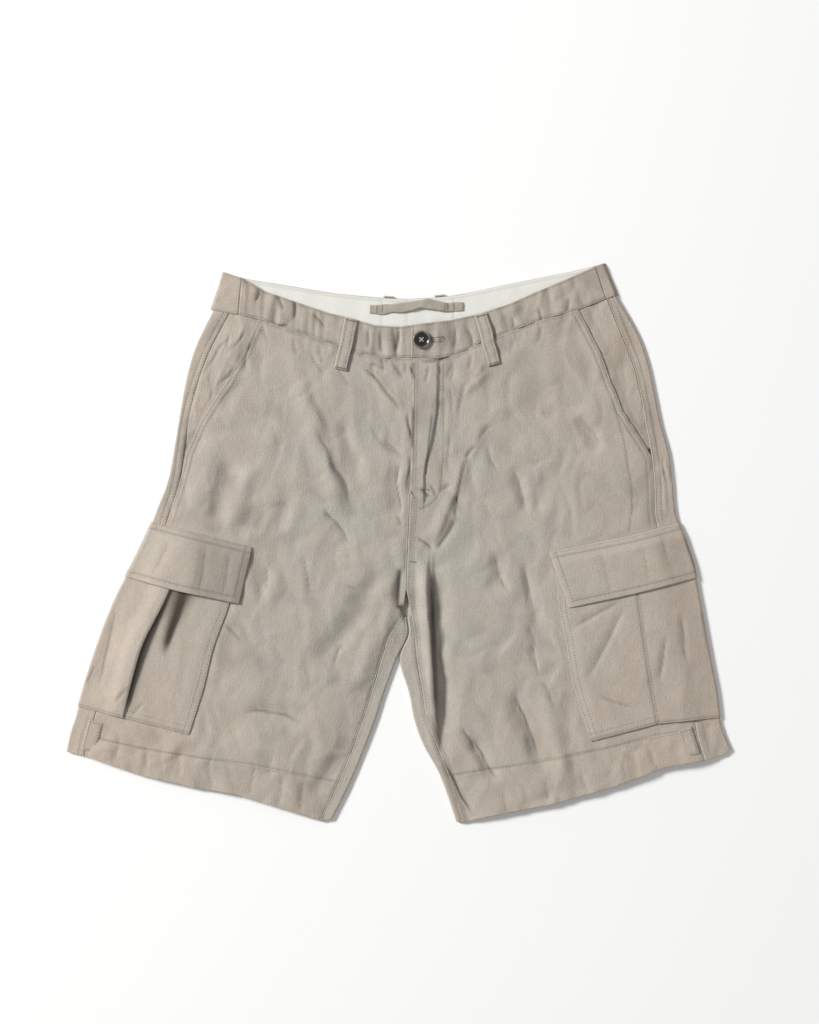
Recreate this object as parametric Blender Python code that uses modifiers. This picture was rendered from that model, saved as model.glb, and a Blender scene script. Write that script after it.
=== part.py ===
"""Cargo shorts lying flat, front upwards, as the cloth pieces they are sewn from.

Lengths in the tables are millimetres. X runs from the wearer's right leg to the left leg,
Y from the hems up to the waist, and Z up from the surface the shorts lie on. Every piece
is an open grid of points on the middle of its cloth, given its wall by a Solidify modifier.
"""
import math
from collections import namedtuple

import bpy

MM = 0.001

# ---------------------------------------------------------------- cloth walls and heights
LEG_WALL = 1.2
HEM_WALL = 2.2
BAND_WALL = 2.0
FACING_WALL = 0.8
POCKET_WALL = 0.8
FLAP_WALL = 1.0
LOOP_WALL = 1.1
TAPE_WALL = 0.9
TAB_WALL = 0.8
SEAM_GAP = 0.3
LAYER_GAP = 0.4
TAB_GAP = 1.0
FACING_GAP = 0.6           # between a front and the facing under its slash pocket

FOLD_RADIUS = 1.4          # middle of the cloth, where front turns into back
WAIST_RISE = 1.1           # the front lifts by this much to meet the thick waistband
WAIST_RISE_REACH = 40.0
PUFF = 4.0                 # how far the front stands off the back away from the folds
PUFF_REACH = 45.0
LOWEST_FRONT = LEG_WALL + LEG_WALL / 2 + 0.5
POCKET_LIFT = LEG_WALL / 2 + LAYER_GAP + POCKET_WALL / 2 + 0.1
FLAP_LIFT = POCKET_LIFT + POCKET_WALL / 2 + LAYER_GAP + FLAP_WALL / 2
FOLD_CENTRE = LEG_WALL / 2 + FOLD_RADIUS

FLY_LAP = 4.0              # the left front covers the right front by this much at the fly
FLY_LAP_RISE = 1.7
FLY_STEP = 6.0             # the lap's thick edge slopes down over this width
FLY_RISE_START = (34.0, 20.0)   # Y where the lap begins to rise, and the length it takes
BAND_LAP_RISE = 2.4
BAND_LAP_END = 40.0        # X of the hidden end of the right waistband
LAP_FALL = 20.0
LAP_DOWN = 64.0             # X where the right waistband lies level again

# ---------------------------------------------------------------- the two legs
# centre: front edge at the centre seam, later the inseam. turn: seat seam at the back,
# later the inner fold. side: side seam on top. fold: outer fold. tuck: how far the leg's
# own fold stays inside the outline where pocket and flap wrap round it. slash: the front
# edge's distance from the side seam at the slash pocket, as X and Y.
Station = namedtuple("Station", "name centre turn side fold tuck slash")

RIGHT_LEG = (
    Station("waist", (16, 205), (2, 230), (-186, 254), (-204, 257), 0.0, (31, -10)),
    Station("pocket top", (15.5, 169), (3, 190), (-206, 217), (-223, 218), 0.0, (35, -10)),
    Station("hip", (15, 131), (4, 150), (-221, 178), (-234, 180), 0.0, (30, -4)),
    Station("pocket mid", (14, 92), (5, 110), (-231, 140), (-241, 142), 0.0, (14, -4)),
    Station("pocket end", (13, 54), (6, 70), (-237, 103), (-247, 106), 0.0, (3, -3)),
    Station("seat", (11, 15), (7, 30), (-242, 68), (-254, 70), 0.0, (0, 0)),
    Station("thigh", (9.5, -20), (8, -8), (-252, 35), (-267, 40), 1.8, (0, 0)),
    Station("rise", (8.5, -51), (8, -45), (-263, 1), (-281, 7), 3.2, (0, 0)),
    Station("crotch", (4.5, -77), (8.5, -81), (-277, -33), (-297, -26), 3.0, (0, 0)),
    Station("fork", (-11, -103), (9.4, -101), (-290, -62), (-311, -54), 2.4, (0, 0)),
    Station("inner thigh", (-19, -128), (-3, -128), (-302, -95), (-324, -86), 1.8, (0, 0)),
    Station("knee 1", (-30, -166), (-17, -166), (-316, -130), (-337, -122), 1.8, (0, 0)),
    Station("knee 2", (-40, -196), (-27, -197), (-327, -165), (-349, -160), 1.8, (0, 0)),
    Station("knee 3", (-53, -232), (-41, -233), (-336, -196), (-357, -190), 1.6, (0, 0)),
    Station("hemline", (-67, -265), (-55, -266), (-342, -214), (-362, -208), 0.6, (0, 0)),
    Station("hem", (-85, -306), (-74, -304), (-346, -234), (-366, -230), 0.0, (0, 0)),
)
LEFT_LEG = (
    Station("waist", (16, 205), (2, 230), (230, 269), (239, 273), 0.0, (-32, -12)),
    Station("pocket top", (15.5, 169), (3, 190), (246, 229), (262, 234), 0.0, (-24, -18)),
    Station("hip", (15, 131), (4, 150), (259, 197), (274, 202), 0.0, (-25, -20)),
    Station("pocket mid", (14, 92), (5, 110), (267, 163), (282, 166), 0.0, (-20, -17)),
    Station("pocket end", (13, 54), (6, 70), (273, 129), (289, 132), 0.0, (-7, -12)),
    Station("seat", (11, 15), (7, 30), (279, 96), (298, 99), 0.0, (0, 0)),
    Station("thigh", (9.5, -20), (8, -8), (282, 64), (302, 67), 0.0, (0, 0)),
    Station("rise", (8.5, -51), (8, -45), (283, 30), (307, 34), 1.8, (0, 0)),
    Station("crotch", (13.8, -77), (10.1, -81), (292, -7), (319, 0), 3.2, (0, 0)),
    Station("fork", (17.2, -100), (11.6, -101), (301, -36), (328, -29), 3.2, (0, 0)),
    Station("inner thigh", (20, -128), (2, -128), (309, -73), (334, -66), 1.8, (0, 0)),
    Station("knee 1", (26, -163), (12, -164), (315, -106), (340, -99), 1.8, (0, 0)),
    Station("knee 2", (31, -194), (18, -194), (320, -139), (346, -132), 1.8, (0, 0)),
    Station("knee 3", (41, -221), (28, -222), (324, -169), (352, -163), 1.8, (0, 0)),
    Station("hemline", (55, -258), (47, -257), (328, -207), (356.5, -200), 1.2, (0, 0)),
    Station("hem", (71, -308), (64.5, -307), (337, -239), (366, -227), 0.0, (0, 0)),
)
FLY_END = 4                # station where the lapped fly becomes a plain centre seam
CROTCH = 8
HEMLINE = 14
HEM = 15
HEM_STEP = 0.07
PLACES = tuple(step / 2 for step in range(2 * HEMLINE)) + (
    HEMLINE - HEM_STEP, HEMLINE, HEMLINE + 0.5, HEM)
EDGE_FADE = 4.0            # stations over which a curved waist or hem line fades out

# Seam lines as rows of X, Y.
WAIST_SEAM = (
    (-204, 257), (-176.5, 252), (-152, 246.5), (-111, 233), (-71, 219), (-48, 211), (-13, 204),
    (13, 205), (42, 203), (64, 208), (90, 221), (122, 233), (159, 247), (197, 257),
    (228.7, 269.2), (239, 273),
)
BAND_TOP = (
    (-192, 298.7), (-171, 292), (-147, 278), (-108, 264.5), (-75, 253.5), (-51, 248), (-26, 240.5),
    (2, 239), (24, 242), (57, 246), (90, 253.5), (123, 264.5), (156, 279), (189, 293), (218, 306),
    (225, 308.6),
)
BACK_TOP = (
    (-192, 298.7), (-171, 292.5), (-119, 284), (-75, 276.6), (-31, 272), (2, 270), (35, 271),
    (68, 274.5), (112, 284), (156, 293), (200, 302), (225, 308.6),
)
BACK_SEAM = (
    (-204, 257), (-150, 248), (-99.5, 239.5), (-49, 232), (2, 229), (60, 232.5), (118.5, 244.5),
    (177, 258), (239, 273),
)
RIGHT_HEM = (
    (-366, -230), (-346, -234), (-288, -254), (-224, -269), (-181, -276), (-141, -288), (-85, -306),
    (-74, -304),
)
LEFT_HEM = (
    (64, -307), (71, -308), (90, -303), (167, -288), (241, -267), (295, -246), (337, -239),
    (359, -233), (366, -227),
)
FLY_EDGE = ((72, 27), (88, 29), (110, 35), (143, 41), (203, 43))   # Y, X of the lap's thick edge

# ---------------------------------------------------------------- folds of the fronts
# start, middle and end of the fold's line, its height (a trough is below zero) and how
# far it reaches to the left and right of that direction.
Fold = namedtuple("Fold", "start middle end height left right")

RIGHT_FOLDS = (
    Fold((-182, 100), (-196, 54), (-205, 16), -4.0, 20, 15),
    Fold((-158, 92), (-172, 54), (-178, 18), 2.4, 14, 14),
    Fold((-109, 187), (-90, 125), (-52, 14), 4.5, 12, 20),
    Fold((-70, 150), (-50, 110), (-44, 60), -2.8, 14, 14),
    Fold((-118, 68), (-128, 36), (-139, 4), -2.6, 14, 14),
    Fold((-44, 202), (-16, 173), (4, 146), 2.2, 9, 7),
    Fold((-1, 97), (-5, 64), (0, 28), -3.2, 9, 8),
    Fold((-14, -18), (-36, -78), (-108, -146), -4.0, 18, 20),
    Fold((-8, -62), (-30, -118), (-52, -172), 2.4, 14, 14),
    Fold((2, -26), (-3, -50), (-2, -74), -3.0, 7, 7),
    Fold((-164, -178), (-125, -186), (-96, -200), -2.2, 18, 18),
    Fold((-158, -10), (-154, -40), (-146, -72), -1.8, 12, 12),
    Fold((-60, -220), (-78, -252), (-96, -288), -2.0, 14, 14),
)
LEFT_FOLDS = (
    Fold((103, 143), (84, 92), (66, 40), -2.4, 18, 12),
    Fold((76, 108), (66, 44), (36, -8), 3.0, 4, 14),
    Fold((41, 2), (42, -106), (51, -240), -4.6, 20, 6),
    Fold((30, -2), (31, -108), (44, -244), 8.0, 5, 14),
    Fold((112, -8), (114, -36), (105, -64), -2.2, 14, 14),
    Fold((144, -20), (146, -52), (152, -116), -2.4, 14, 12),
    Fold((127, -154), (142, -205), (158, -250), -3.4, 16, 18),
    Fold((161, -150), (173, -205), (186, -278), 2.8, 16, 16),
    Fold((74, -203), (92, -238), (114, -264), -3.4, 16, 14),
    Fold((199, 141), (211, 119), (222, 96), -2.6, 11, 11),
    Fold((127, 83), (134, 58), (145, 31), -2.4, 13, 13),
    Fold((168, 80), (160, 55), (154, 30), -2.2, 14, 14),
    Fold((96, 196), (84, 180), (74, 158), 1.8, 9, 9),
)
FOLD_SAMPLES = 6
FOLD_TAPER = 0.3

# ---------------------------------------------------------------- columns across a front
RIGHT_SHARES = (0.0, 0.025, 0.055, 0.09, 0.13, 0.175, 0.225, 0.28, 0.34, 0.405, 0.475, 0.55,
                0.625, 0.70, 0.775, 0.85, 0.93, 1.0)
LEFT_SHARES = (0.0, 0.022, 0.046, 0.072, 0.10, 0.13, 0.165, 0.205, 0.25, 0.30, 0.36, 0.43, 0.51,
               0.60, 0.69, 0.78, 0.87, 0.94, 1.0)

# ---------------------------------------------------------------- pockets and flaps
# Rows from top to bottom. inner: edge on the front of the leg. pleat: the pleat's edge.
# outer: the outline. lift: how far the pleat's edge stands open.
PocketRow = namedtuple("PocketRow", "name inner pleat outer_y lift")

RIGHT_POCKET = (
    PocketRow("top", (-173, -17), (-233, 0), 9, 0.0),
    PocketRow("flap edge", (-186.5, -67.5), (-257, -61), -46, 1.2),
    PocketRow("upper", (-203, -113), (-281, -109.5), -95, 3.6),
    PocketRow("lower", (-215, -161), (-294, -152), -137, 2.8),
    PocketRow("bottom", (-230.5, -210.5), (-304, -191.5), -180, 0.0),
)
LEFT_POCKET = (
    PocketRow("top", (173, -25), (256, -4), 9, 0.0),
    PocketRow("flap edge", (176.5, -70), (263, -55.5), -42, 0.0),
    PocketRow("upper", (184, -108), (269, -99.5), -84, 0.0),
    PocketRow("lower", (192, -154.5), (276.5, -151), -137, 0.0),
    PocketRow("bottom", (212, -218), (285, -198.5), -192, 0.0),
)
POCKET_STEPS = 3           # rows in each span of a pocket's table
PLEAT_DEPTH = 8.0
PLEAT_PITCH = 1.15         # from one layer of the pleat to the next
PLEAT_SETTLE = 16.0        # the upper layer comes down to the leg over this much
PLEAT_GROOVE = 0.7         # the left pocket's pleat is stitched shut and only leaves a groove
PLEAT_GROOVE_REACH = 4.0
POCKET_PUFF = 1.0
WRAP_ANGLES = (90, 60, 30, 0)
POCKET_WRAP_END = -35

# Shares of the way across a pocket or flap at which its points lie.
UNDER_PLEAT_SHARES = (0.0, 0.12, 0.3, 0.5, 0.68, 0.84, 1.0)
OVER_PLEAT_SHARES = (0.16, 0.34, 0.52, 0.72, 0.88)
FLAT_INNER_SHARES = (0.0, 0.12, 0.3, 0.5, 0.7, 0.88, 0.95, 1.0)
FLAT_OUTER_SHARES = (0.08, 0.2, 0.4, 0.6, 0.8)
FLAP_INNER_SHARES = (0.0, 0.15, 0.35, 0.55, 0.72, 0.87, 1.0)
FLAP_OUTER_SHARES = (0.18, 0.36, 0.56, 0.78)
PLEAT_SIDE_LIFT = 0.45     # share of the pleat's lift that its side has half way up

# Rows from the sewn edge to the free edge. ridge: where the pleat below bulges the flap.
FlapRow = namedtuple("FlapRow", "share height ridge_height")

FLAP_ROWS = (
    FlapRow(0.0, 0.0, 0.0),
    FlapRow(0.13, 0.55, 0.9),
    FlapRow(0.24, 1.1, 2.2),
    FlapRow(0.5, 1.3, 2.4),
    FlapRow(0.78, 1.6, 3.2),
    FlapRow(1.0, 1.75, 3.4),
)
Flap = namedtuple("Flap", "inner_top ridge_top outer_top inner_low ridge_low outer_low bulge")
RIGHT_FLAP = Flap((-161, -4), (-229, 13), (-270, 23.6), (-175.5, -66.5), (-243, -52), (-301, -37), 1.0)
LEFT_FLAP = Flap((165.5, -9.4), (254.7, 8.3), (308.5, 22.5), (187.5, -71), (261, -55), (330, -38.5), 0.25)
FLAP_WRAP_END = -14

# ---------------------------------------------------------------- waistband
# bottom and top X of the lines that run up the front waistband
Rib = namedtuple("Rib", "bottom top")
BAND_RIBS = (
    Rib(-176.5, -172.8), Rib(-140, -140), Rib(-108, -106), Rib(-75, -73), Rib(-42, -42), Rib(14, 14),
    Rib(45, 41), Rib(75, 71), Rib(108, 100), Rib(147, 140), Rib(184, 179), Rib(219, 208),
    Rib(228.7, 217),
)
BAND_END = 13.8            # X of the left waistband's end, over the right one
BAND_STEP = 9.0
BAND_ROWS = 4
RIGHT_BAND_FOLD = ((-204, 257), (-192, 298.7))
LEFT_BAND_FOLD = ((239, 273), (225, 308.6))
BACK_BAND_LEAN = ((-204, -192), (-100, -97), (2, 2), (118, 115), (239, 225))  # bottom X, top X
FACING_INSET = 1.2
FACING_HEIGHT = 38.0
FACING_ENDS = (-184.0, 217.0)
FACING_STEPS = 20

# ---------------------------------------------------------------- small pieces
# height: above the cloth that the row lies on
Loop = namedtuple("Loop", "name top bottom width")
BELT_LOOPS = (
    Loop("belt_loop_right", (-51.7, 247.2), (-64, 191.5), 14.0),
    Loop("belt_loop_left", (90.5, 252.6), (105.6, 197), 14.0),
)
LOOP_ARCH = ((0.0, 0.0), (0.08, 0.15), (0.25, 0.9), (0.5, 1.2), (0.7, 0.9), (0.86, 0.2), (1.0, -0.35))
HANGER_PATH = ((-31.5, 258.5), (-20, 258.2), (5, 261), (30, 264.5), (48, 262), (56, 261), (71, 261.5))
HANGER_ARCH = (0.0, 0.0, 0.9, 1.9, 0.8, 0.0, 0.0)
HANGER_WIDTH = 10.0
BACK_LOOPS = (("belt_loop_back_right", -11.0), ("belt_loop_back_left", 45.6))
BACK_LOOP_WIDTH = 11.5
BACK_LOOP_SHOWS = 2.4
BACK_LOOP_WALL = 0.8
BACK_LOOP_ROUND = 0.2       # the fold is this much taller than the waistband's wall
TAB_PLACES = (
    ("hem_tab_right", (-333, -196), (-342, -229), 16.0),
    ("hem_tab_left", (315.5, -204), (324.5, -233), 15.0),
)

BUTTON_CENTRE = (25.3, 224.2)
BUTTON_RADIUS = 9.9
BUTTON_PROFILE = ((0.0, 0.0), (7.2, 0.0), (9.4, 0.7), (9.9, 1.7), (9.5, 2.7), (8.5, 3.0), (7.4, 2.6),
                  (6.4, 1.9), (0.0, 1.8))
BUTTON_STEPS = 32
BUTTON_HOLE_RADIUS = 0.9
BUTTON_HOLE_OFFSET = 1.7

LINEN = (0.46, 0.40, 0.33, 1.0)
IVORY = (0.80, 0.77, 0.70, 1.0)
TAPE = (0.40, 0.36, 0.31, 1.0)
HORN = (0.02, 0.02, 0.02, 1.0)


# ================================================================ working out the shape
def smooth(value):
    value = min(max(value, 0.0), 1.0)
    return value * value * (3.0 - 2.0 * value)


def mix(start, end, share):
    return tuple(a + (b - a) * share for a, b in zip(start, end))


def unit(start, end):
    length = math.hypot(end[0] - start[0], end[1] - start[1])
    return ((end[0] - start[0]) / length, (end[1] - start[1]) / length)


def line_at(points, place):
    """Second column of a table of X, Y rows, at this X."""
    for (x0, y0), (x1, y1) in zip(points, points[1:]):
        if place <= x1:
            break
    share = min(max((place - x0) / (x1 - x0), 0.0), 1.0)
    return y0 + (y1 - y0) * share


def through(points, place):
    """Point at this station number, on a smooth curve through the points."""
    last = len(points) - 1
    span = min(int(place), last - 1)
    part = place - span
    before = points[max(span - 1, 0)]
    start = points[span]
    end = points[span + 1]
    after = points[min(span + 2, last)]
    return tuple(
        0.5 * (2 * b + (c - a) * part + (2 * a - 5 * b + 4 * c - d) * part ** 2
               + (3 * b - a - 3 * c + d) * part ** 3)
        for a, b, c, d in zip(before, start, end, after))


def column(leg, name):
    return [getattr(station, name) for station in leg]


def segment_distance(x, y, start, end):
    """Distance from a segment, the share along it, and which side the point is on."""
    along_x = end[0] - start[0]
    along_y = end[1] - start[1]
    length = along_x ** 2 + along_y ** 2
    share = ((x - start[0]) * along_x + (y - start[1]) * along_y) / length
    share = min(max(share, 0.0), 1.0)
    off_x = x - start[0] - along_x * share
    off_y = y - start[1] - along_y * share
    side = along_x * off_y - along_y * off_x
    return math.hypot(off_x, off_y), share, side


def fold_lines():
    """The lines where the front turns into the back: two outer ones and two inner ones."""
    lines = []
    for leg in (RIGHT_LEG, LEFT_LEG):
        lines.append(column(leg, "fold"))
        lines.append(column(leg, "turn")[CROTCH:])
    return lines


def centre_at(leg, place):
    """The front's inner edge: straight steps down the centre seam, then the curved inseam."""
    centre = column(leg, "centre")
    if place >= CROTCH:
        return through(centre, place)
    span = int(place)
    return mix(centre[span], centre[span + 1], place - span)


def fold_at(leg, place):
    """The leg's own outer fold, kept inside the outline where a pocket wraps round it."""
    fold = through(column(leg, "fold"), place)
    inner = through(column(leg, "turn"), place)
    span = min(int(place), HEM - 1)
    tuck = leg[span].tuck + (leg[span + 1].tuck - leg[span].tuck) * (place - span)
    inward = unit(fold, inner)
    return (fold[0] + inward[0] * tuck, fold[1] + inward[1] * tuck)


def outline_of(leg):
    """Y and X of the leg's outer fold at each row, from the hem up."""
    return [(y, x) for x, y in reversed([fold_at(leg, place) for place in PLACES])]


TURNS = fold_lines()


def turn_distance(x, y):
    return min(segment_distance(x, y, start, end)[0]
               for line in TURNS for start, end in zip(line, line[1:]))


def fold_path(fold):
    """A bent line from start to end, as a few points."""
    steps = [index / FOLD_SAMPLES for index in range(FOLD_SAMPLES + 1)]
    return [tuple((1 - s) ** 2 * a + 2 * s * (1 - s) * b + s ** 2 * c
                  for a, b, c in zip(fold.start, fold.middle, fold.end)) for s in steps]


FOLDS = [(fold, fold_path(fold)) for fold in RIGHT_FOLDS + LEFT_FOLDS]


def fold_height(x, y):
    total = 0.0
    for fold, path in FOLDS:
        nearest = min(
            (segment_distance(x, y, start, end) + (index,)
             for index, (start, end) in enumerate(zip(path, path[1:]))),
            key=lambda found: found[0])
        distance, share, side, index = nearest
        reach = fold.left if side > 0 else fold.right
        along = (index + share) / FOLD_SAMPLES
        taper = smooth(along / FOLD_TAPER) * smooth((1 - along) / FOLD_TAPER)
        total += fold.height * taper * smooth(1 - distance / reach)
    return total


def waist_blend(x, y):
    return smooth(1 - (line_at(WAIST_SEAM, x) - y) / WAIST_RISE_REACH)


def edge_height(x, y):
    """Middle of the front cloth right beside a fold line."""
    return FOLD_CENTRE + FOLD_RADIUS + WAIST_RISE * waist_blend(x, y)


def calm_height(x, y):
    puff = PUFF * smooth((turn_distance(x, y) - FOLD_RADIUS) / PUFF_REACH)
    return edge_height(x, y) + puff * (1 - 0.5 * waist_blend(x, y))


def front_height(x, y):
    """Middle of the cloth of the fronts, folds and all."""
    return max(calm_height(x, y) + fold_height(x, y), LOWEST_FRONT)


def fly_rise(x, y):
    """How far the left front stands on the right one at the fly."""
    edge = line_at(FLY_EDGE, y)
    start, length = FLY_RISE_START
    return FLY_LAP_RISE * smooth((edge + FLY_STEP - x) / FLY_STEP) * smooth((y - start) / length)


def row_wall(place):
    return HEM_WALL if place >= HEMLINE else LEG_WALL


# ================================================================ making the objects
def clear_scene():
    for item in list(bpy.data.objects):
        bpy.data.objects.remove(item, do_unlink=True)


def make_collection(name):
    group = bpy.data.collections.new(name)
    bpy.context.scene.collection.children.link(group)
    return group


def make_material(name, colour, roughness):
    material = bpy.data.materials.new(name)
    material.use_nodes = True
    shader = material.node_tree.nodes["Principled BSDF"]
    shader.inputs["Base Color"].default_value = colour
    shader.inputs["Roughness"].default_value = roughness
    shader.inputs["Metallic"].default_value = 0.0
    material.diffuse_color = colour
    return material


def add_object(name, mesh, colour, roughness=0.9):
    mesh.materials.append(make_material(name + "_material", colour, roughness))
    made = bpy.data.objects.new(name, mesh)
    SHORTS.objects.link(made)
    return made


def cloth(name, rows, wall, colour, walls=None):
    """A grid of points as a sheet of cloth. None leaves a place in the grid empty."""
    numbers = {}
    points = []
    for r, row in enumerate(rows):
        for c, point in enumerate(row):
            if point is not None:
                numbers[r, c] = len(points)
                points.append([value * MM for value in point])
    faces = []
    for r in range(len(rows) - 1):
        for c in range(len(rows[r]) - 1):
            corners = ((r, c), (r, c + 1), (r + 1, c + 1), (r + 1, c))
            if all(corner in numbers for corner in corners):
                faces.append([numbers[corner] for corner in corners])
    mesh = bpy.data.meshes.new(name)
    mesh.from_pydata(points, [], faces)
    mesh.polygons.foreach_set("use_smooth", [True] * len(faces))
    made = add_object(name, mesh, colour)
    solidify = made.modifiers.new("wall", "SOLIDIFY")
    solidify.thickness = wall * MM
    solidify.offset = 0.0
    solidify.use_even_offset = True
    solidify.use_quality_normals = True
    if walls:
        group = made.vertex_groups.new(name="wall")
        for (r, _), number in numbers.items():
            group.add([number], walls[r] / wall, "REPLACE")
        solidify.vertex_group = group.name
        solidify.thickness_vertex_group = 0.0
    return made


def fit_edges(rows, places, top_lines, hem_line):
    """Bends the first and last rows onto the waist and hem lines, fading between them."""
    for c in range(len(rows[0])):
        first = rows[0][c]
        last = rows[-1][c]
        top_shift = 0.0
        if first is not None:
            top_shift = line_at(top_lines[c], first[0]) - SEAM_GAP / 2 - first[1]
        hem_shift = line_at(hem_line, last[0]) - last[1]
        for row, place in zip(rows, places):
            if row[c] is None:
                continue
            x, y = row[c]
            y += top_shift * max(0.0, 1 - place / EDGE_FADE)
            y += hem_shift * max(0.0, 1 - (HEM - place) / EDGE_FADE)
            row[c] = (x, y)


# ---------------------------------------------------------------- fronts
def front_edges(leg, lap):
    """The front's edge at the centre and at the side, row by row."""
    slash = column(leg, "slash")
    for place in PLACES:
        centre = centre_at(leg, place)
        side = through(column(leg, "side"), place)
        span = min(int(place), HEM - 1)
        opening = mix(slash[span], slash[span + 1], place - span)
        outward = math.copysign(1.0, side[0])
        if place < FLY_END:
            shift = lap * min(1.0, FLY_END - place)
        else:
            shift = outward * SEAM_GAP / 2
        centre = (centre[0] + shift, centre[1])
        edge = (side[0] + opening[0] - outward * SEAM_GAP / 2, side[1] + opening[1])
        yield centre, edge


def make_front(name, leg, shares, hem_line, lap, rise):
    rows = [[mix(centre, edge, share) for share in shares] for centre, edge in front_edges(leg, lap)]
    fit_edges(rows, PLACES, [WAIST_SEAM] * len(shares), hem_line)
    walls = [row_wall(place) for place in PLACES]
    solid = [
        [(x, y, front_height(x, y) + rise(x, y) + (wall - LEG_WALL) / 2) for x, y in row]
        for row, wall in zip(rows, walls)]
    cloth(name, solid, HEM_WALL, LINEN, walls)


def no_rise(x, y):
    return 0.0


# ---------------------------------------------------------------- backs
BOTTOM_SHARES = (0.25, 0.5, 0.75)
TURN_ANGLES = (90, 45, 0, -45, -90)


def turned(edge, inward, radius, middle, angles):
    """Points round a fold: edge is the outline and inward points away from it."""
    points = []
    for angle in angles:
        out = radius * (1 - math.cos(math.radians(angle)))
        height = middle + radius * math.sin(math.radians(angle))
        points.append((edge[0] + inward[0] * out, edge[1] + inward[1] * out, height))
    return points


def back_row(leg, place):
    """One row of a back, from the side seam round the outer fold to the inner one."""
    wall = row_wall(place)
    side = through(column(leg, "side"), place)
    fold = fold_at(leg, place)
    inner = through(column(leg, "turn"), place)
    centre = centre_at(leg, place)
    outward = math.copysign(1.0, side[0])
    inward = unit(fold, inner)
    side = (side[0] + outward * SEAM_GAP / 2, side[1])
    radius = (edge_height(*fold) - LEG_WALL / 2) / 2
    outer_turn = turned(fold, inward, radius, wall / 2 + radius, TURN_ANGLES)
    halfway = mix(side, outer_turn[0][:2], 0.5)
    lift = (wall - LEG_WALL) / 2
    row = [side + (front_height(*side) + lift,), halfway + (front_height(*halfway) + lift,)]
    row += outer_turn
    below = wall / 2
    low_start = outer_turn[-1]
    if place < CROTCH:
        seat = (inner[0] + outward * SEAM_GAP / 2, inner[1])
        row += [mix(low_start, seat + (below,), share) for share in BOTTOM_SHARES]
        row += [seat + (below,)] + [None] * (len(TURN_ANGLES) + 1)
        return row
    back_inward = unit(inner, fold)
    inner_turn = turned(inner, back_inward, FOLD_RADIUS, below + FOLD_RADIUS, reversed(TURN_ANGLES))
    row += [mix(low_start, inner_turn[0], share) for share in BOTTOM_SHARES]
    seam = (centre[0] - outward * SEAM_GAP / 2, centre[1])
    middle = mix(inner_turn[-1][:2], seam, 0.5)
    row += inner_turn
    row += [middle + (front_height(*middle) + lift,), seam + (front_height(*seam) + lift,)]
    return row


def make_back(name, leg, hem_line):
    rows = [back_row(leg, place) for place in PLACES]
    top_count = 2 + len(TURN_ANGLES) // 2 + 1
    width = len(rows[0])
    top_lines = [WAIST_SEAM] * top_count + [BACK_SEAM] * (width - top_count)
    flat = [[point and point[:2] for point in row] for row in rows]
    fit_edges(flat, PLACES, top_lines, hem_line)
    solid = [
        [point and place + (point[2],) for place, point in zip(flat_row, row)]
        for flat_row, row in zip(flat, rows)]
    cloth(name, solid, HEM_WALL, LINEN, [row_wall(place) for place in PLACES])


# ---------------------------------------------------------------- slash pocket facings
FACING_SHARES = (0.0, 0.3, 0.55, 0.8, 1.0)
FACING_DROPS = (0.0, 0.4, 0.8, 1.0, 1.0, 1.0)          # shares of the drop, with the underlap
FACING_END_DROPS = (0.6, 0.75, 0.9, 1.0, 1.0, 1.0)
FACING_UNDERLAP = 9.0
FACING_DROP = LEG_WALL / 2 + FACING_GAP + FACING_WALL / 2


def make_pocket_facing(name, leg):
    rows = []
    places = [step / 2 for step in range(2 * FLY_END + 1)]
    for place, (centre, edge) in zip(places, front_edges(leg, 0.0)):
        side = through(column(leg, "side"), place)
        outward = math.copysign(1.0, side[0])
        start = (side[0] - outward * SEAM_GAP / 2, side[1])
        row = [mix(start, edge, share) for share in FACING_SHARES]
        inward = unit(edge, centre)
        row.append((edge[0] + inward[0] * FACING_UNDERLAP, edge[1] + inward[1] * FACING_UNDERLAP))
        rows.append(row)
    fit_edges(rows, places, [WAIST_SEAM] * len(rows[0]), RIGHT_HEM if leg is RIGHT_LEG else LEFT_HEM)
    drops = [FACING_DROPS] * (len(rows) - 2) + [FACING_END_DROPS, [1.0] * len(FACING_DROPS)]
    solid = [[(x, y, front_height(x, y) - FACING_DROP * drop) for (x, y), drop in zip(row, row_drops)]
             for row, row_drops in zip(rows, drops)]
    cloth(name, solid, FACING_WALL, LINEN)


# ---------------------------------------------------------------- waistband
def band_columns(start, end):
    """X at the bottom and top of the lines across the front waistband."""
    bottoms = [rib.bottom for rib in BAND_RIBS]
    count = math.ceil((end - start) / BAND_STEP)
    table = list(zip(bottoms, [rib.top for rib in BAND_RIBS]))
    for index in range(count + 1):
        bottom = start + (end - start) * index / count
        yield bottom, line_at(table, bottom)


def make_front_band(name, start, end, lap_rise):
    rows = []
    for bottom_x, top_x in band_columns(start, end):
        bottom = (bottom_x, line_at(WAIST_SEAM, bottom_x) + SEAM_GAP / 2)
        top = (top_x, line_at(BAND_TOP, top_x))
        row = []
        for step in range(BAND_ROWS + 1):
            x, y = mix(bottom, top, step / BAND_ROWS)
            lap = lap_rise * smooth((LAP_DOWN - x) / LAP_FALL)
            row.append((x, y, front_height(x, y) + lap))
        rows.append(row)
    cloth(name, rows, BAND_WALL, LINEN)


def band_fold(fold_line, seam_line, angles):
    """Waistband columns from the side seam round one side fold to the underside."""
    radius = (FOLD_CENTRE + FOLD_RADIUS + WAIST_RISE - BAND_WALL / 2) / 2
    inward = unit(fold_line[0], seam_line[0])
    columns = []
    lower = turned(fold_line[0], inward, radius, BAND_WALL / 2 + radius, angles)
    upper = turned(fold_line[1], inward, radius, BAND_WALL / 2 + radius, angles)
    for low, high in zip(lower, upper):
        columns.append([mix(low, high, step / BAND_ROWS) for step in range(BAND_ROWS + 1)])
    return columns


def band_seam_column(seam):
    places = [mix(*seam, step / BAND_ROWS) for step in range(BAND_ROWS + 1)]
    return [(x, y, front_height(x, y)) for x, y in places]


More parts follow.
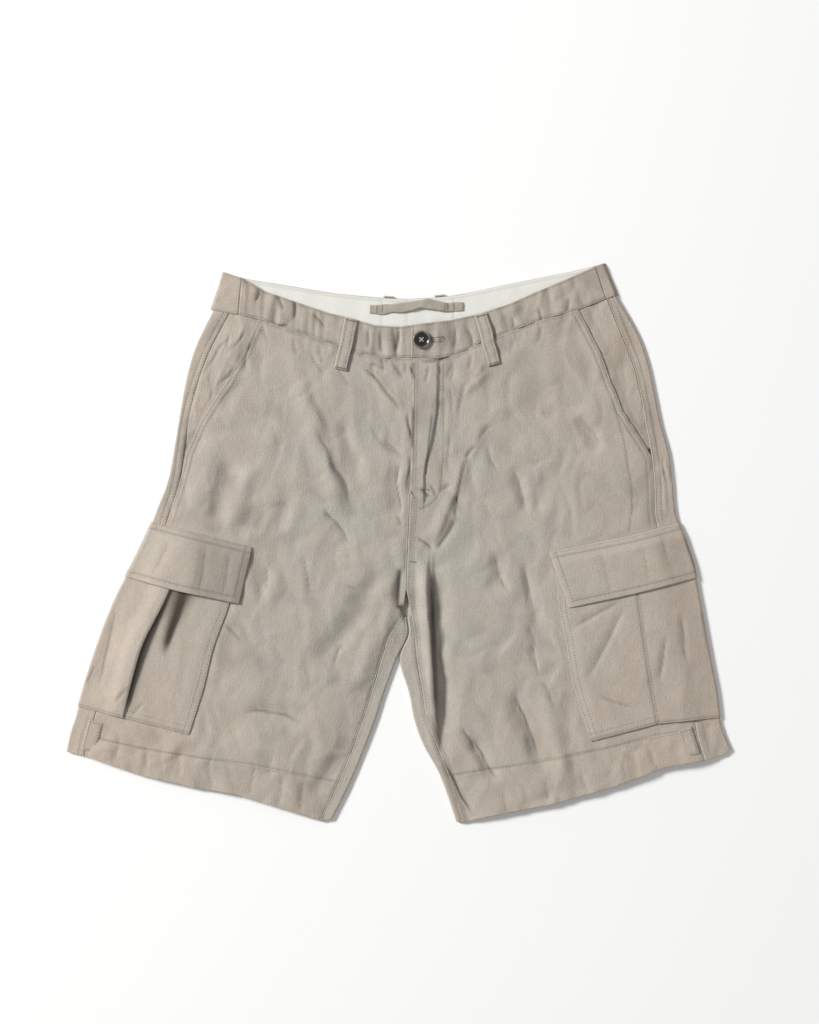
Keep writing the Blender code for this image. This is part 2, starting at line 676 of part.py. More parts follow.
def make_back_band():
    right_seam = ((BAND_RIBS[0].bottom - SEAM_GAP, line_at(WAIST_SEAM, BAND_RIBS[0].bottom)),
                  (BAND_RIBS[0].top - SEAM_GAP, line_at(BAND_TOP, BAND_RIBS[0].top)))
    left_seam = ((BAND_RIBS[-1].bottom + SEAM_GAP, line_at(WAIST_SEAM, BAND_RIBS[-1].bottom)),
                 (BAND_RIBS[-1].top + SEAM_GAP, line_at(BAND_TOP, BAND_RIBS[-1].top)))
    columns = [band_seam_column(right_seam)]
    columns += band_fold(RIGHT_BAND_FOLD, right_seam, TURN_ANGLES)
    bottoms = [x for x, _ in BACK_SEAM]
    halves = [(a + b) / 2 for a, b in zip(bottoms, bottoms[1:])]
    for bottom_x in sorted(bottoms[1:-1] + halves):
        top_x = line_at(BACK_BAND_LEAN, bottom_x)
        ends = ((bottom_x, line_at(BACK_SEAM, bottom_x), BAND_WALL / 2),
                (top_x, line_at(BACK_TOP, top_x), BAND_WALL / 2))
        columns.append([mix(*ends, step / BAND_ROWS) for step in range(BAND_ROWS + 1)])
    columns += band_fold(LEFT_BAND_FOLD, left_seam, TURN_ANGLES[::-1])
    columns.append(band_seam_column(left_seam))
    lifted = [[(x, y + SEAM_GAP / 2, z) for x, y, z in row] for row in columns]
    cloth("waistband_back", lifted, BAND_WALL, LINEN)


def make_facing():
    start, end = FACING_ENDS
    height = BAND_WALL + SEAM_GAP + FACING_WALL / 2
    rows = []
    for index in range(FACING_STEPS + 1):
        x = start + (end - start) * index / FACING_STEPS
        top = line_at(BACK_TOP, x) - FACING_INSET
        rows.append([(x, top - FACING_HEIGHT * step / 2, height) for step in range(3)])
    cloth("waistband_facing", rows, FACING_WALL, IVORY)


# ---------------------------------------------------------------- cargo pockets
def pocket_rows(table):
    """Inner edge, pleat and outer Y of a cargo pocket, row by row, with the pleat's lift."""
    spans = len(table) - 1
    for index in range(spans * POCKET_STEPS + 1):
        place = index / POCKET_STEPS
        lift = through([(row.lift,) for row in table], place)[0]
        yield (through([row.inner for row in table], place),
               through([row.pleat for row in table], place),
               through([(row.outer_y,) for row in table], place)[0], lift, place / spans)


def pocket_height(x, y, puff):
    return calm_height(x, y) + POCKET_LIFT + puff


def wrap_points(leg, outer_y, towards, lift, last_angle):
    """Points round the leg's outer fold at this Y, over the leg by the given lift."""
    edge = (line_at(outline_of(leg), outer_y), outer_y)
    inward = unit(edge, towards)
    edge = (edge[0] - inward[0] * lift, edge[1] - inward[1] * lift)
    return turned(edge, inward, FOLD_RADIUS + lift, FOLD_CENTRE, WRAP_ANGLES + (last_angle,))


def make_pleated_pocket(name, leg, table):
    """A pocket with an open knife pleat: the outer part lies over the inner part."""
    rows = []
    for inner, pleat, outer_y, lift, share in pocket_rows(table):
        along = unit(inner, pleat)
        puff = POCKET_PUFF * math.sin(math.pi * share)
        deep = (pleat[0] + along[0] * PLEAT_DEPTH, pleat[1] + along[1] * PLEAT_DEPTH)
        row = []
        for step in UNDER_PLEAT_SHARES:
            x, y = mix(inner, deep, step)
            edge = smooth(step * 5)
            row.append((x, y, pocket_height(x, y, puff * edge)))
        base = row[-1][2]
        half = PLEAT_PITCH / 2
        bend = (deep[0] + along[0] * half, deep[1] + along[1] * half)
        row.append(bend + (base + half,))
        row.append(deep + (base + PLEAT_PITCH,))
        edge_base = base + PLEAT_PITCH + lift
        row.append(mix(deep, pleat, 0.5) + (base + PLEAT_PITCH + lift * PLEAT_SIDE_LIFT,))
        row.append(pleat + (edge_base,))
        nose = (pleat[0] - along[0] * half, pleat[1] - along[1] * half)
        row.append(nose + (edge_base + half,))
        row.append(pleat + (edge_base + PLEAT_PITCH,))
        turn = wrap_points(leg, outer_y, pleat, POCKET_LIFT, POCKET_WRAP_END)
        length = math.hypot(turn[0][0] - pleat[0], turn[0][1] - pleat[1])
        for step in OVER_PLEAT_SHARES:
            x, y = mix(pleat, turn[0][:2], step)
            left = step * length - PLEAT_DEPTH
            stacked = 2 * PLEAT_PITCH * smooth(1 - left / PLEAT_SETTLE)
            height = pocket_height(x, y, puff * smooth((1 - step) * 2)) + stacked
            row.append((x, y, height + lift * smooth(1 - step * length / (2 * PLEAT_SETTLE))))
        rows.append(row + turn)
    cloth(name, rows, POCKET_WALL, LINEN)


def make_flat_pocket(name, leg, table):
    """A pocket whose pleat is stitched shut."""
    rows = []
    for inner, pleat, outer_y, _, share in pocket_rows(table):
        puff = POCKET_PUFF * math.sin(math.pi * share)
        row = []
        for step in FLAT_INNER_SHARES:
            x, y = mix(inner, pleat, step)
            edge = smooth(step * 5)
            left = (1 - step) * math.hypot(pleat[0] - inner[0], pleat[1] - inner[1])
            groove = PLEAT_GROOVE * smooth(1 - left / PLEAT_GROOVE_REACH) * edge
            row.append((x, y, pocket_height(x, y, puff * edge - groove + PLEAT_GROOVE * edge)))
        turn = wrap_points(leg, outer_y, pleat, POCKET_LIFT, POCKET_WRAP_END)
        for step in FLAT_OUTER_SHARES:
            x, y = mix(pleat, turn[0][:2], step)
            fade = smooth((1 - step) * 2)
            row.append((x, y, pocket_height(x, y, (puff + PLEAT_GROOVE) * fade)))
        rows.append(row + turn)
    cloth(name, rows, POCKET_WALL, LINEN)


def make_flap(name, leg, flap):
    rows = []
    for step in FLAP_ROWS:
        inner = mix(flap.inner_top, flap.inner_low, step.share)
        ridge = mix(flap.ridge_top, flap.ridge_low, step.share)
        outer = mix(flap.outer_top, flap.outer_low, step.share)
        sewn = LEG_WALL / 2 + LAYER_GAP + FLAP_WALL / 2
        lift = sewn + (FLAP_LIFT - sewn) * min(step.height, 1.0)
        puff = (POCKET_PUFF + PLEAT_GROOVE) * step.height
        row = []
        for share in FLAP_INNER_SHARES:
            x, y = mix(inner, ridge, share)
            bulge = step.ridge_height * flap.bulge * smooth(share * 1.1)
            row.append((x, y, calm_height(x, y) + lift + puff * smooth(0.3 + share * 5) + bulge))
        turn = wrap_points(leg, outer[1], ridge, lift, FLAP_WRAP_END)
        for share in FLAP_OUTER_SHARES:
            x, y = mix(ridge, turn[0][:2], share)
            bulge = step.ridge_height * flap.bulge * smooth(1.12 - share * 1.15)
            row.append((x, y, calm_height(x, y) + lift + puff * smooth(2 - 2 * share) + bulge))
        rows.append(row + turn)
    cloth(name, rows, FLAP_WALL, LINEN)


# ---------------------------------------------------------------- small sewn pieces
def strip_row(centre, along, width, height, count=2):
    across = (-along[1], along[0])
    offsets = [(index / count - 0.5) * width for index in range(count + 1)]
    return [(centre[0] + across[0] * off, centre[1] + across[1] * off, height) for off in offsets]


def make_belt_loop(loop):
    along = unit(loop.top, loop.bottom)
    resting = BAND_WALL / 2 + LAYER_GAP + LOOP_WALL / 2
    rows = []
    for share, arch in LOOP_ARCH:
        centre = mix(loop.top, loop.bottom, share)
        height = front_height(*centre) + resting + arch
        rows.append(strip_row(centre, along, loop.width, height))
    cloth(loop.name, rows, LOOP_WALL, LINEN)


def make_hanger():
    resting = BAND_WALL + SEAM_GAP + FACING_WALL + LAYER_GAP + TAPE_WALL / 2
    rows = []
    last = len(HANGER_PATH) - 1
    for index in range(2 * last + 1):
        centre = through(HANGER_PATH, index / 2)
        arch = through([(value,) for value in HANGER_ARCH], index / 2)[0]
        rows.append(strip_row(centre, (1.0, 0.0), HANGER_WIDTH, resting + max(arch, 0.0)))
    cloth("hanger_loop", rows, TAPE_WALL, TAPE)


def make_back_loop_tip(name, x):
    """The fold at the top of a back belt loop, which is all that shows past the waistband."""
    rows = []
    wall = BACK_LOOP_WALL
    radius = (BAND_WALL - wall) / 2 + BACK_LOOP_ROUND
    for side in (-0.5, 0.0, 0.5):
        place = x + side * BACK_LOOP_WIDTH
        edge = line_at(BACK_TOP, place) + SEAM_GAP + wall / 2 + SEAM_GAP
        row = [(place, edge, wall / 2)]
        for angle in (-60, -30, 0, 30, 60, 90):
            out = BACK_LOOP_SHOWS / 2 * math.cos(math.radians(angle))
            row.append((place, edge + out, wall / 2 + radius * (1 + math.sin(math.radians(angle)))))
        rows.append(row)
    cloth(name, rows, wall, LINEN)


def make_hem_tab(name, top, bottom, width):
    along = unit(top, bottom)
    rows = []
    for step in range(5):
        centre = mix(top, bottom, step / 4)
        height = front_height(*centre) + HEM_WALL - LEG_WALL / 2 + TAB_GAP + TAB_WALL / 2
        rows.append(strip_row(centre, along, width, height))
    cloth(name, rows, TAB_WALL, LINEN)


# ---------------------------------------------------------------- button
def make_button():
    x, y = BUTTON_CENTRE
    seat = front_height(x, y) + BAND_LAP_RISE + BAND_WALL / 2 + SEAM_GAP
    mesh = bpy.data.meshes.new("button")
    points = [(radius * MM, 0.0, height * MM) for radius, height in BUTTON_PROFILE]
    edges = [(index, index + 1) for index in range(len(points) - 1)]
    mesh.from_pydata(points, edges, [])
    button = add_object("button", mesh, HORN, 0.2)
    button.location = (x * MM, y * MM, seat * MM)
    turn = button.modifiers.new("turn", "SCREW")
    turn.steps = BUTTON_STEPS
    turn.render_steps = BUTTON_STEPS
    turn.use_merge_vertices = True
    turn.merge_threshold = 0.00001
    turn.use_normal_calculate = True
    for number, (side_x, side_y) in enumerate(((1, 1), (-1, 1), (-1, -1), (1, -1))):
        bpy.ops.mesh.primitive_cylinder_add(vertices=12, radius=BUTTON_HOLE_RADIUS * MM, depth=8 * MM)
        cutter = bpy.context.active_object
        cutter.name = f"button_hole_{number}"
        cutter.location = ((x + side_x * BUTTON_HOLE_OFFSET) * MM,
                           (y + side_y * BUTTON_HOLE_OFFSET) * MM, seat * MM)
        for group in list(cutter.users_collection):
            group.objects.unlink(cutter)
        CUTTERS.objects.link(cutter)
        cutter.hide_render = True
        cutter.display_type = "WIRE"
        hole = button.modifiers.new(f"hole_{number}", "BOOLEAN")
        hole.operation = "DIFFERENCE"
        hole.solver = "EXACT"
        hole.object = cutter


# ================================================================ the shorts
clear_scene()
SHORTS = make_collection("cargo_shorts")
CUTTERS = make_collection("cutters")

make_front("front_right", RIGHT_LEG, RIGHT_SHARES, RIGHT_HEM, FLY_LAP, no_rise)
make_front("front_left", LEFT_LEG, LEFT_SHARES, LEFT_HEM, 0.0, fly_rise)
make_back("back_right", RIGHT_LEG, RIGHT_HEM)
make_back("back_left", LEFT_LEG, LEFT_HEM)
make_pocket_facing("pocket_facing_right", RIGHT_LEG)
make_pocket_facing("pocket_facing_left", LEFT_LEG)
make_front_band("waistband_right", BAND_RIBS[0].bottom, BAND_LAP_END, 0.0)
make_front_band("waistband_left", BAND_END, BAND_RIBS[-1].bottom, BAND_LAP_RISE)
make_back_band()
make_facing()
make_pleated_pocket("cargo_pocket_right", RIGHT_LEG, RIGHT_POCKET)
make_flat_pocket("cargo_pocket_left", LEFT_LEG, LEFT_POCKET)
make_flap("cargo_flap_right", RIGHT_LEG, RIGHT_FLAP)
make_flap("cargo_flap_left", LEFT_LEG, LEFT_FLAP)
for belt_loop in BELT_LOOPS:
    make_belt_loop(belt_loop)
for loop_name, loop_x in BACK_LOOPS:
    make_back_loop_tip(loop_name, loop_x)
make_hanger()
for tab in TAB_PLACES:
    make_hem_tab(*tab)
make_button()
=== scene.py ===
# %% [markdown]
# # Cargo shorts in washed linen, lying flat
# The shorts lie on their back, front upwards, just as they were put down: one leg a little
# fuller than the other, folds where the cloth had too much width, and puckers along every
# seam. Each cloth panel is made here as its own thin sheet, on the line of the plain solid
# that it stands for, with finer folds, stitching and a woven finish.
#
# Lengths are millimetres until a mesh is made. X runs from the wearer's right leg to the
# left one, Y from the hems to the waist, and Z up from the table.

# %% Start from the plain solids
import math
from collections import namedtuple
import bpy
import numpy as np
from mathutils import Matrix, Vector
from mathutils.bvhtree import BVHTree


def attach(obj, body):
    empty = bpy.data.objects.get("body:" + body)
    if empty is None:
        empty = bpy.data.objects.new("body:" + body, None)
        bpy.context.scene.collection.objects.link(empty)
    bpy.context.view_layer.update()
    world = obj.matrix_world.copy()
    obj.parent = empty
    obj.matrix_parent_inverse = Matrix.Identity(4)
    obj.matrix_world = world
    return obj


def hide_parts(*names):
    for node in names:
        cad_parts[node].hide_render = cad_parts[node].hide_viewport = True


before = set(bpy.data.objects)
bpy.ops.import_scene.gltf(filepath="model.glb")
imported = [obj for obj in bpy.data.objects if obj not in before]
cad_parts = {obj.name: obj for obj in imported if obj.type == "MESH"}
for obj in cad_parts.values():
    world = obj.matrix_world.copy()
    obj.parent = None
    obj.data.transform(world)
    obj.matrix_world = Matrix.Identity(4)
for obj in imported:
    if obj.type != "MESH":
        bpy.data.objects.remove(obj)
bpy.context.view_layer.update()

MM = 0.001

# %% [markdown]
# ## The measures of the shorts
# Each leg is a few stations from waist to hem. A station gives the centre or inseam edge,
# the line where the leg turns under at the inside, the side seam, the outer fold, how far
# that fold tucks in under a pocket, and how far the slash pocket's opening stands from the
# side seam. Smooth curves through the stations give the whole outline.

# %% Both legs, station by station
Station = namedtuple("Station", "name centre turn side fold tuck slash", defaults=(0.0, (0, 0)))

RIGHT_LEG = (
    ("waist", (16, 205), (2, 230), (-186, 254), (-204, 257), 0.0, (31, -10)),
    ("pocket top", (15.5, 169), (3, 190), (-206, 217), (-223, 218), 0.0, (35, -10)),
    ("hip", (15, 131), (4, 150), (-221, 178), (-234, 180), 0.0, (30, -4)),
    ("pocket mid", (14, 92), (5, 110), (-231, 140), (-241, 142), 0.0, (14, -4)),
    ("pocket end", (13, 54), (6, 70), (-237, 103), (-247, 106), 0.0, (3, -3)),
    ("seat", (11, 15), (7, 30), (-242, 68), (-254, 70)),
    ("thigh", (9.5, -20), (8, -8), (-252, 35), (-267, 40), 1.8),
    ("rise", (8.5, -51), (8, -45), (-263, 1), (-281, 7), 3.2),
    ("crotch", (4.5, -77), (8.5, -81), (-277, -33), (-297, -26), 3.0),
    ("fork", (-11, -103), (9.4, -101), (-290, -62), (-311, -54), 2.4),
    ("inner thigh", (-19, -128), (-3, -128), (-302, -95), (-324, -86), 1.8),
    ("knee 1", (-30, -166), (-17, -166), (-316, -130), (-337, -122), 1.8),
    ("knee 2", (-40, -196), (-27, -197), (-327, -165), (-349, -160), 1.8),
    ("knee 3", (-53, -232), (-41, -233), (-336, -196), (-357, -190), 1.6),
    ("hemline", (-67, -265), (-55, -266), (-342, -214), (-362, -208), 0.6),
    ("hem", (-85, -306), (-74, -304), (-346, -234), (-366, -230)),
)
LEFT_LEG = (
    ("waist", (16, 205), (2, 230), (230, 269), (239, 273), 0.0, (-32, -12)),
    ("pocket top", (15.5, 169), (3, 190), (246, 229), (262, 234), 0.0, (-24, -18)),
    ("hip", (15, 131), (4, 150), (259, 197), (274, 202), 0.0, (-25, -20)),
    ("pocket mid", (14, 92), (5, 110), (267, 163), (282, 166), 0.0, (-20, -17)),
    ("pocket end", (13, 54), (6, 70), (273, 129), (289, 132), 0.0, (-7, -12)),
    ("seat", (11, 15), (7, 30), (279, 96), (298, 99)),
    ("thigh", (9.5, -20), (8, -8), (282, 64), (302, 67)),
    ("rise", (8.5, -51), (8, -45), (283, 30), (307, 34), 1.8),
    ("crotch", (13.8, -77), (10.1, -81), (292, -7), (319, 0), 3.2),
    ("fork", (17.2, -100), (11.6, -101), (301, -36), (328, -29), 3.2),
    ("inner thigh", (20, -128), (2, -128), (309, -73), (334, -66), 1.8),
    ("knee 1", (26, -163), (12, -164), (315, -106), (340, -99), 1.8),
    ("knee 2", (31, -194), (18, -194), (320, -139), (346, -132), 1.8),
    ("knee 3", (41, -221), (28, -222), (324, -169), (352, -163), 1.8),
    ("hemline", (55, -258), (47, -257), (328, -207), (356.5, -200), 1.2),
    ("hem", (71, -308), (64.5, -307), (337, -239), (366, -227)),
)
STATIONS = {"right": [Station(*row) for row in RIGHT_LEG], "left": [Station(*row) for row in LEFT_LEG]}
FLY_END, CROTCH, HEMLINE, HEM = 4, 8, 14, 15
print(len(LEFT_LEG), "stations on each leg")

# %% [markdown]
# The waist seam and the waistband's top edge sag at the centre front. The back of the
# waistband stands higher, so its inside shows. Each line is a row of X, Y places.

# %% Seam lines
WAIST_SEAM = (
    (-204, 257), (-176.5, 252), (-152, 246.5), (-111, 233), (-71, 219), (-48, 211), (-13, 204),
    (13, 205), (42, 203), (64, 208), (90, 221), (122, 233), (159, 247), (197, 257),
    (228.7, 269.2), (239, 273),
)
BAND_TOP = (
    (-192, 298.7), (-171, 292), (-147, 278), (-108, 264.5), (-75, 253.5), (-51, 248), (-26, 240.5),
    (2, 239), (24, 242), (57, 246), (90, 253.5), (123, 264.5), (156, 279), (189, 293), (218, 306),
    (225, 308.6),
)
BACK_TOP = (
    (-192, 298.7), (-171, 292.5), (-119, 284), (-75, 276.6), (-31, 272), (2, 270), (35, 271),
    (68, 274.5), (112, 284), (156, 293), (200, 302), (225, 308.6),
)
BACK_SEAM = (
    (-204, 257), (-150, 248), (-99.5, 239.5), (-49, 232), (2, 229), (60, 232.5), (118.5, 244.5),
    (177, 258), (239, 273),
)
RIGHT_HEM = (
    (-366, -230), (-346, -234), (-288, -254), (-224, -269), (-181, -276), (-141, -288), (-85, -306),
    (-74, -304),
)
LEFT_HEM = (
    (64, -307), (71, -308), (90, -303), (167, -288), (241, -267), (295, -246), (337, -239),
    (359, -233), (366, -227),
)
HEM_LINES = {"right": RIGHT_HEM, "left": LEFT_HEM}
FLY_EDGE = ((72, 27), (88, 29), (110, 35), (143, 41), (203, 43))   # Y, X of the lap's thick edge
print("waist seam", WAIST_SEAM[-1][0] - WAIST_SEAM[0][0], "mm across")

# %% [markdown]
# ## Curves and heights
# A cloth panel that shows its creases needs a point every two or three millimetres, so
# everything is worked out with arrays. First come the small helpers: an eased step, a
# straight look-up along a table, and a smooth curve through rows.

# %% Helpers for lines
def smooth(value):
    value = np.clip(value, 0.0, 1.0)
    return value * value * (3.0 - 2.0 * value)


def line_at(points, place):
    """Second column of a table, read at this value of its first column."""
    xs, ys = zip(*points)
    return np.interp(place, xs, ys)


def through(points, places):
    """Places on a smooth curve through the points; a whole number falls on a point."""
    points = np.asarray(points, float).reshape(len(points), -1)
    last = len(points) - 1
    span = np.minimum(places.astype(int), last - 1)
    part = (places - span)[:, None]
    a, b = points[np.maximum(span - 1, 0)], points[span]
    c, d = points[span + 1], points[np.minimum(span + 2, last)]
    return 0.5 * (2 * b + (c - a) * part + (2 * a - 5 * b + 4 * c - d) * part ** 2
                  + (3 * b - a - 3 * c + d) * part ** 3)


def xy(grid):
    """X and Y of every point of a grid."""
    return grid[..., 0], grid[..., 1]


def unit(vectors):
    return vectors / np.linalg.norm(vectors, axis=-1, keepdims=True)


def mix(start, end, share):
    return start + (end - start) * share


print("halfway up the left side:", through([s.side for s in STATIONS["left"]], np.array([7.5])))

# %% [markdown]
# The rows of a leg panel stand close together where the hem begins, so that its step and
# its stitched furrow come out crisp.

# %% The lines of each leg at every row
ROWS_ABOVE = 235
ROWS_AT_HEM = 42
CLOSER_FROM = 13.6         # just above the hemline, in stations
PLACES = np.concatenate([np.linspace(0, CLOSER_FROM, ROWS_ABOVE),
                         np.linspace(CLOSER_FROM, HEM, ROWS_AT_HEM)[1:]])
SEAM_GAP = 0.3
FLY_LAP = 4.0
LegLines = namedtuple("LegLines", "centre turn side fold slash outward")


def straight(points):
    """Places that run straight from each station to the next."""
    points = np.array(points, float).reshape(len(points), -1)
    return np.column_stack([np.interp(PLACES, np.arange(len(points)), column) for column in points.T])


def leg_lines(stations):
    _, centre, turn, side, fold, tuck, slash = zip(*stations)
    centre = np.where(PLACES[:, None] >= CROTCH, through(centre, PLACES), straight(centre))
    turn, side, fold = (through(line, PLACES) for line in (turn, side, fold))
    fold = fold + unit(turn - fold) * straight(tuck)
    return LegLines(centre, turn, side, fold, straight(slash), np.sign(side[0, 0]))


LEGS = {name: leg_lines(stations) for name, stations in STATIONS.items()}
print(len(PLACES), "rows on each leg")

# %% [markdown]
# The height of the cloth starts from a calm surface: the front lies a few millimetres above
# the back, lower beside the folds where front turns into back, and lifted at the waist by
# the thick band. These are the same numbers as in the plain solids.

# %% The calm surface
LEG_WALL, HEM_WALL, BAND_WALL = 1.2, 2.2, 2.0
FOLD_RADIUS, FOLD_CENTRE = 1.4, 2.0
WAIST_RISE, WAIST_RISE_REACH = 1.1, 40.0
PUFF, PUFF_REACH, PUFF_LOST_AT_WAIST = 4.0, 45.0, 0.5
LOWEST_FRONT = 2.3
TURNS = [[s.fold for s in stations] for stations in STATIONS.values()]
TURNS += [[s.turn for s in stations[CROTCH:]] for stations in STATIONS.values()]


def beside(x, y, start, end):
    """Distance from a straight piece of line, share along it, and side of it."""
    dx, dy = end - start
    share = np.clip(((x - start[0]) * dx + (y - start[1]) * dy) / (dx * dx + dy * dy), 0, 1)
    off_x, off_y = x - start[0] - dx * share, y - start[1] - dy * share
    return np.hypot(off_x, off_y), share, dx * off_y - dy * off_x


def to_line(x, y, line):
    """Distance from a line through these points."""
    line = np.array(line, float)
    return np.fmin.reduce([beside(x, y, start, end)[0] for start, end in zip(line, line[1:])])


def turn_distance(x, y):
    return np.fmin.reduce([to_line(x, y, line) for line in TURNS])


def waist_blend(x, y):
    return smooth(1 - (line_at(WAIST_SEAM, x) - y) / WAIST_RISE_REACH)


def edge_height(x, y):
    return FOLD_CENTRE + FOLD_RADIUS + WAIST_RISE * waist_blend(x, y)


def calm_height(x, y):
    puff = PUFF * smooth((turn_distance(x, y) - FOLD_RADIUS) / PUFF_REACH)
    return edge_height(x, y) + puff * (1 - PUFF_LOST_AT_WAIST * waist_blend(x, y))


print("calm height on a thigh:", calm_height(np.array([150.0]), np.array([-60.0])).round(2), "mm")

# %% [markdown]
# ## Folds and creases
# A fold is a bent line with a height, below zero for a trough. It fades out over one
# distance on its left and another on its right, so one flank can be steep and the other
# soft. The large folds come from the solids; the creases that pressing and wearing left are
# placed one by one. A cloth simulation would settle into folds of its own, never into these.

# %% The large folds
Fold = namedtuple("Fold", "start middle end height left right")


def bent(kind, *rows):
    """Bent lines from rows of numbers: X, Y of start, middle and end, and then the rest."""
    return tuple(kind(row[:2], row[2:4], row[4:6], *row[6:]) for row in rows)


RIGHT_FOLDS = bent(
    Fold, (-182, 100, -196, 54, -205, 16, -4.0, 20, 15), (-158, 92, -172, 54, -178, 18, 2.4, 14, 14),
    (-109, 187, -90, 125, -52, 14, 4.5, 12, 20), (-70, 150, -50, 110, -44, 60, -2.8, 14, 14),
    (-118, 68, -128, 36, -139, 4, -2.6, 14, 14), (-44, 202, -16, 173, 4, 146, 2.2, 9, 7),
    (-1, 97, -6, 64, -2, 24, -2.8, 8, 14), (-14, -18, -36, -78, -108, -146, -4.0, 18, 20),
    (-8, -62, -30, -118, -52, -172, 2.4, 14, 14), (2, -26, -3, -50, -2, -74, -3.0, 7, 7),
    (-164, -178, -125, -186, -96, -200, -2.2, 18, 18), (-158, -10, -154, -40, -146, -72, -1.8, 12, 12),
    (-60, -220, -78, -252, -96, -288, -2.0, 14, 14),
)
LEFT_FOLDS = bent(
    Fold, (103, 143, 86, 92, 69, 42, -1.2, 14, 10), (80, 108, 61, 50, 36, -6, 2.2, 4, 13),
    (41, 2, 42, -106, 51, -240, -4.6, 20, 6), (30, -2, 31, -108, 44, -244, 8.0, 5, 14),
    (112, -8, 114, -36, 105, -64, -2.2, 14, 14), (144, -20, 146, -52, 152, -116, -2.4, 14, 12),
    (127, -154, 142, -205, 158, -250, -3.4, 16, 18), (161, -150, 173, -205, 186, -278, 2.8, 16, 16),
    (74, -203, 92, -238, 114, -264, -3.4, 16, 14), (199, 141, 211, 119, 222, 96, -2.6, 11, 11),
    (127, 83, 134, 58, 145, 31, -2.4, 13, 13), (168, 80, 160, 55, 154, 30, -2.2, 14, 14),
    (96, 196, 84, 180, 74, 158, 1.8, 9, 9),
)
LARGE_FOLDS = RIGHT_FOLDS + LEFT_FOLDS
print(len(LARGE_FOLDS), "large folds")

# %% Creases of the legs
RIGHT_CREASES = bent(
    Fold, (-101, 216, -93, 198, -79, 182, -0.7, 4, 7), (-67, 190, -58, 178, -50, 168, -0.7, 4, 6),
    (-42, 200, -12, 172, 4, 144, -1.4, 3, 6), (-30, 201, -24, 194, -10, 190, -0.7, 3, 4),
    (-20, 204, -16, 196, -14, 186, -0.8, 3, 4), (-8, 205, -4, 190, 2, 178, -0.7, 3, 4),
    (6, 204, 8, 192, 4, 182, -0.6, 3, 3), (11, 196, 14, 190, 12, 184, -1.2, 3, 2),
    (12, 148, 14, 128, 12, 108, -1.1, 3, 2.5), (10, 96, 12, 72, 11, 52, -0.8, 3, 3),
    (-34, 134, -18, 110, 2, 92, -0.6, 4, 6), (-16, 118, -4, 102, 4, 88, -0.6, 4, 5),
    (-98, 139, -67, 89, -50, 25, -1.0, 8, 12), (-84, 44, -72, 18, -48, -5, -1.2, 4, 7),
    (-59, -47, -51, -51, -42, -53, -0.6, 4, 5), (-186, 228, -200, 216, -213, 179, -0.6, 4, 4),
    (-3, 90, 1, 61, 1, 30, -1.3, 4, 5), (-3, 34, 2, 25, 6, 16, -0.7, 4, 4),
    (-150, -20, -147, -38, -144, -53, -0.9, 8, 8), (-106, -12, -102, -36, -96, -62, -0.6, 9, 9),
    (-63, -106, -67, -122, -70, -137, -0.8, 6, 6), (-174, -190, -137, -177, -100, -199, -1.0, 13, 11),
    (-193, -90, -183, -100, -169, -112, -0.8, 4, 6),
)
LEFT_CREASES = bent(
    Fold, (96, 198, 88, 189, 79, 177, -0.8, 3, 5), (75, 177, 69, 158, 63, 137, -0.8, 4, 6),
    (101, 134, 93, 124, 82, 111, -0.8, 4, 6), (83, 112, 77, 101, 75, 92, -1.1, 4, 4),
    (76, 96, 70, 76, 64, 56, -1.0, 4, 4), (66, 60, 65, 44, 62, 27, -1.2, 4, 5),
    (64, 32, 56, 10, 40, -8, -1.1, 8, 9), (58, 70, 50, 62, 44, 58, -0.7, 4, 5),
    (92, 108, 104, 96, 112, 78, -0.7, 5, 7), (52, 176, 58, 160, 56, 142, -0.6, 4, 6),
    (60, 204, 54, 196, 50, 184, -0.8, 3, 4), (46, 205, 38, 200, 26, 202, -0.6, 3, 3),
    (24, 62, 30, 54, 38, 50, -1.0, 3, 4), (34, 64, 40, 60, 42, 50, -0.8, 3, 3),
    (20, 6, 30, 0, 38, -10, -1.3, 4, 5), (202, 141, 211, 125, 222, 103, -0.5, 4, 5),
    (107, -7, 112, -34, 120, -60, -1.0, 8, 8), (140, -16, 144, -45, 148, -71, -0.9, 8, 8),
    (139, -86, 150, -123, 157, -148, -1.0, 4, 7), (157, -147, 166, -163, 173, -183, -0.7, 4, 6),
    (127, 85, 135, 58, 142, 30, -0.9, 9, 9), (127, -155, 142, -196, 154, -243, -1.2, 7, 10),
    (71, -198, 78, -215, 85, -233, -1.0, 5, 7), (76, -205, 92, -238, 114, -262, -1.4, 8, 10),
    (48, -234, 63, -269, 86, -302, -1.5, 9, 8), (57, 127, 53, 101, 56, 76, -0.6, 5, 5),
)
RIGHT_SIDE_CREASES = bent(
    Fold, (-168, 236, -176, 222, -190, 206, -0.8, 3, 4), (-160, 224, -168, 206, -172, 190, -0.8, 3, 4),
    (-190, 234, -186, 222, -192, 208, -0.7, 3, 4), (-176, 200, -190, 184, -204, 170, -0.6, 3, 4),
    (-206, 190, -202, 170, -210, 152, -0.6, 3, 4),
)
LEFT_SIDE_CREASES = bent(
    Fold, (288, 107, 292, 70, 295, 28, 0.8, 3, 3), (294, 103, 300, 68, 304, 30, 0.8, 3, 3),
)
RIGHT_POCKET_CREASES = bent(
    Fold, (-234, -58, -243, -84, -256, -119, -1.0, 6, 6),
    (-334, -133, -340, -145, -346, -157, -0.8, 3, 4), (-279, -173, -287, -182, -294, -190, -0.7, 3, 4),
    (-294, -154, -303, -164, -312, -176, -0.8, 3, 4), (-311, -69, -322, -115, -331, -161, -0.8, 10, 10),
)
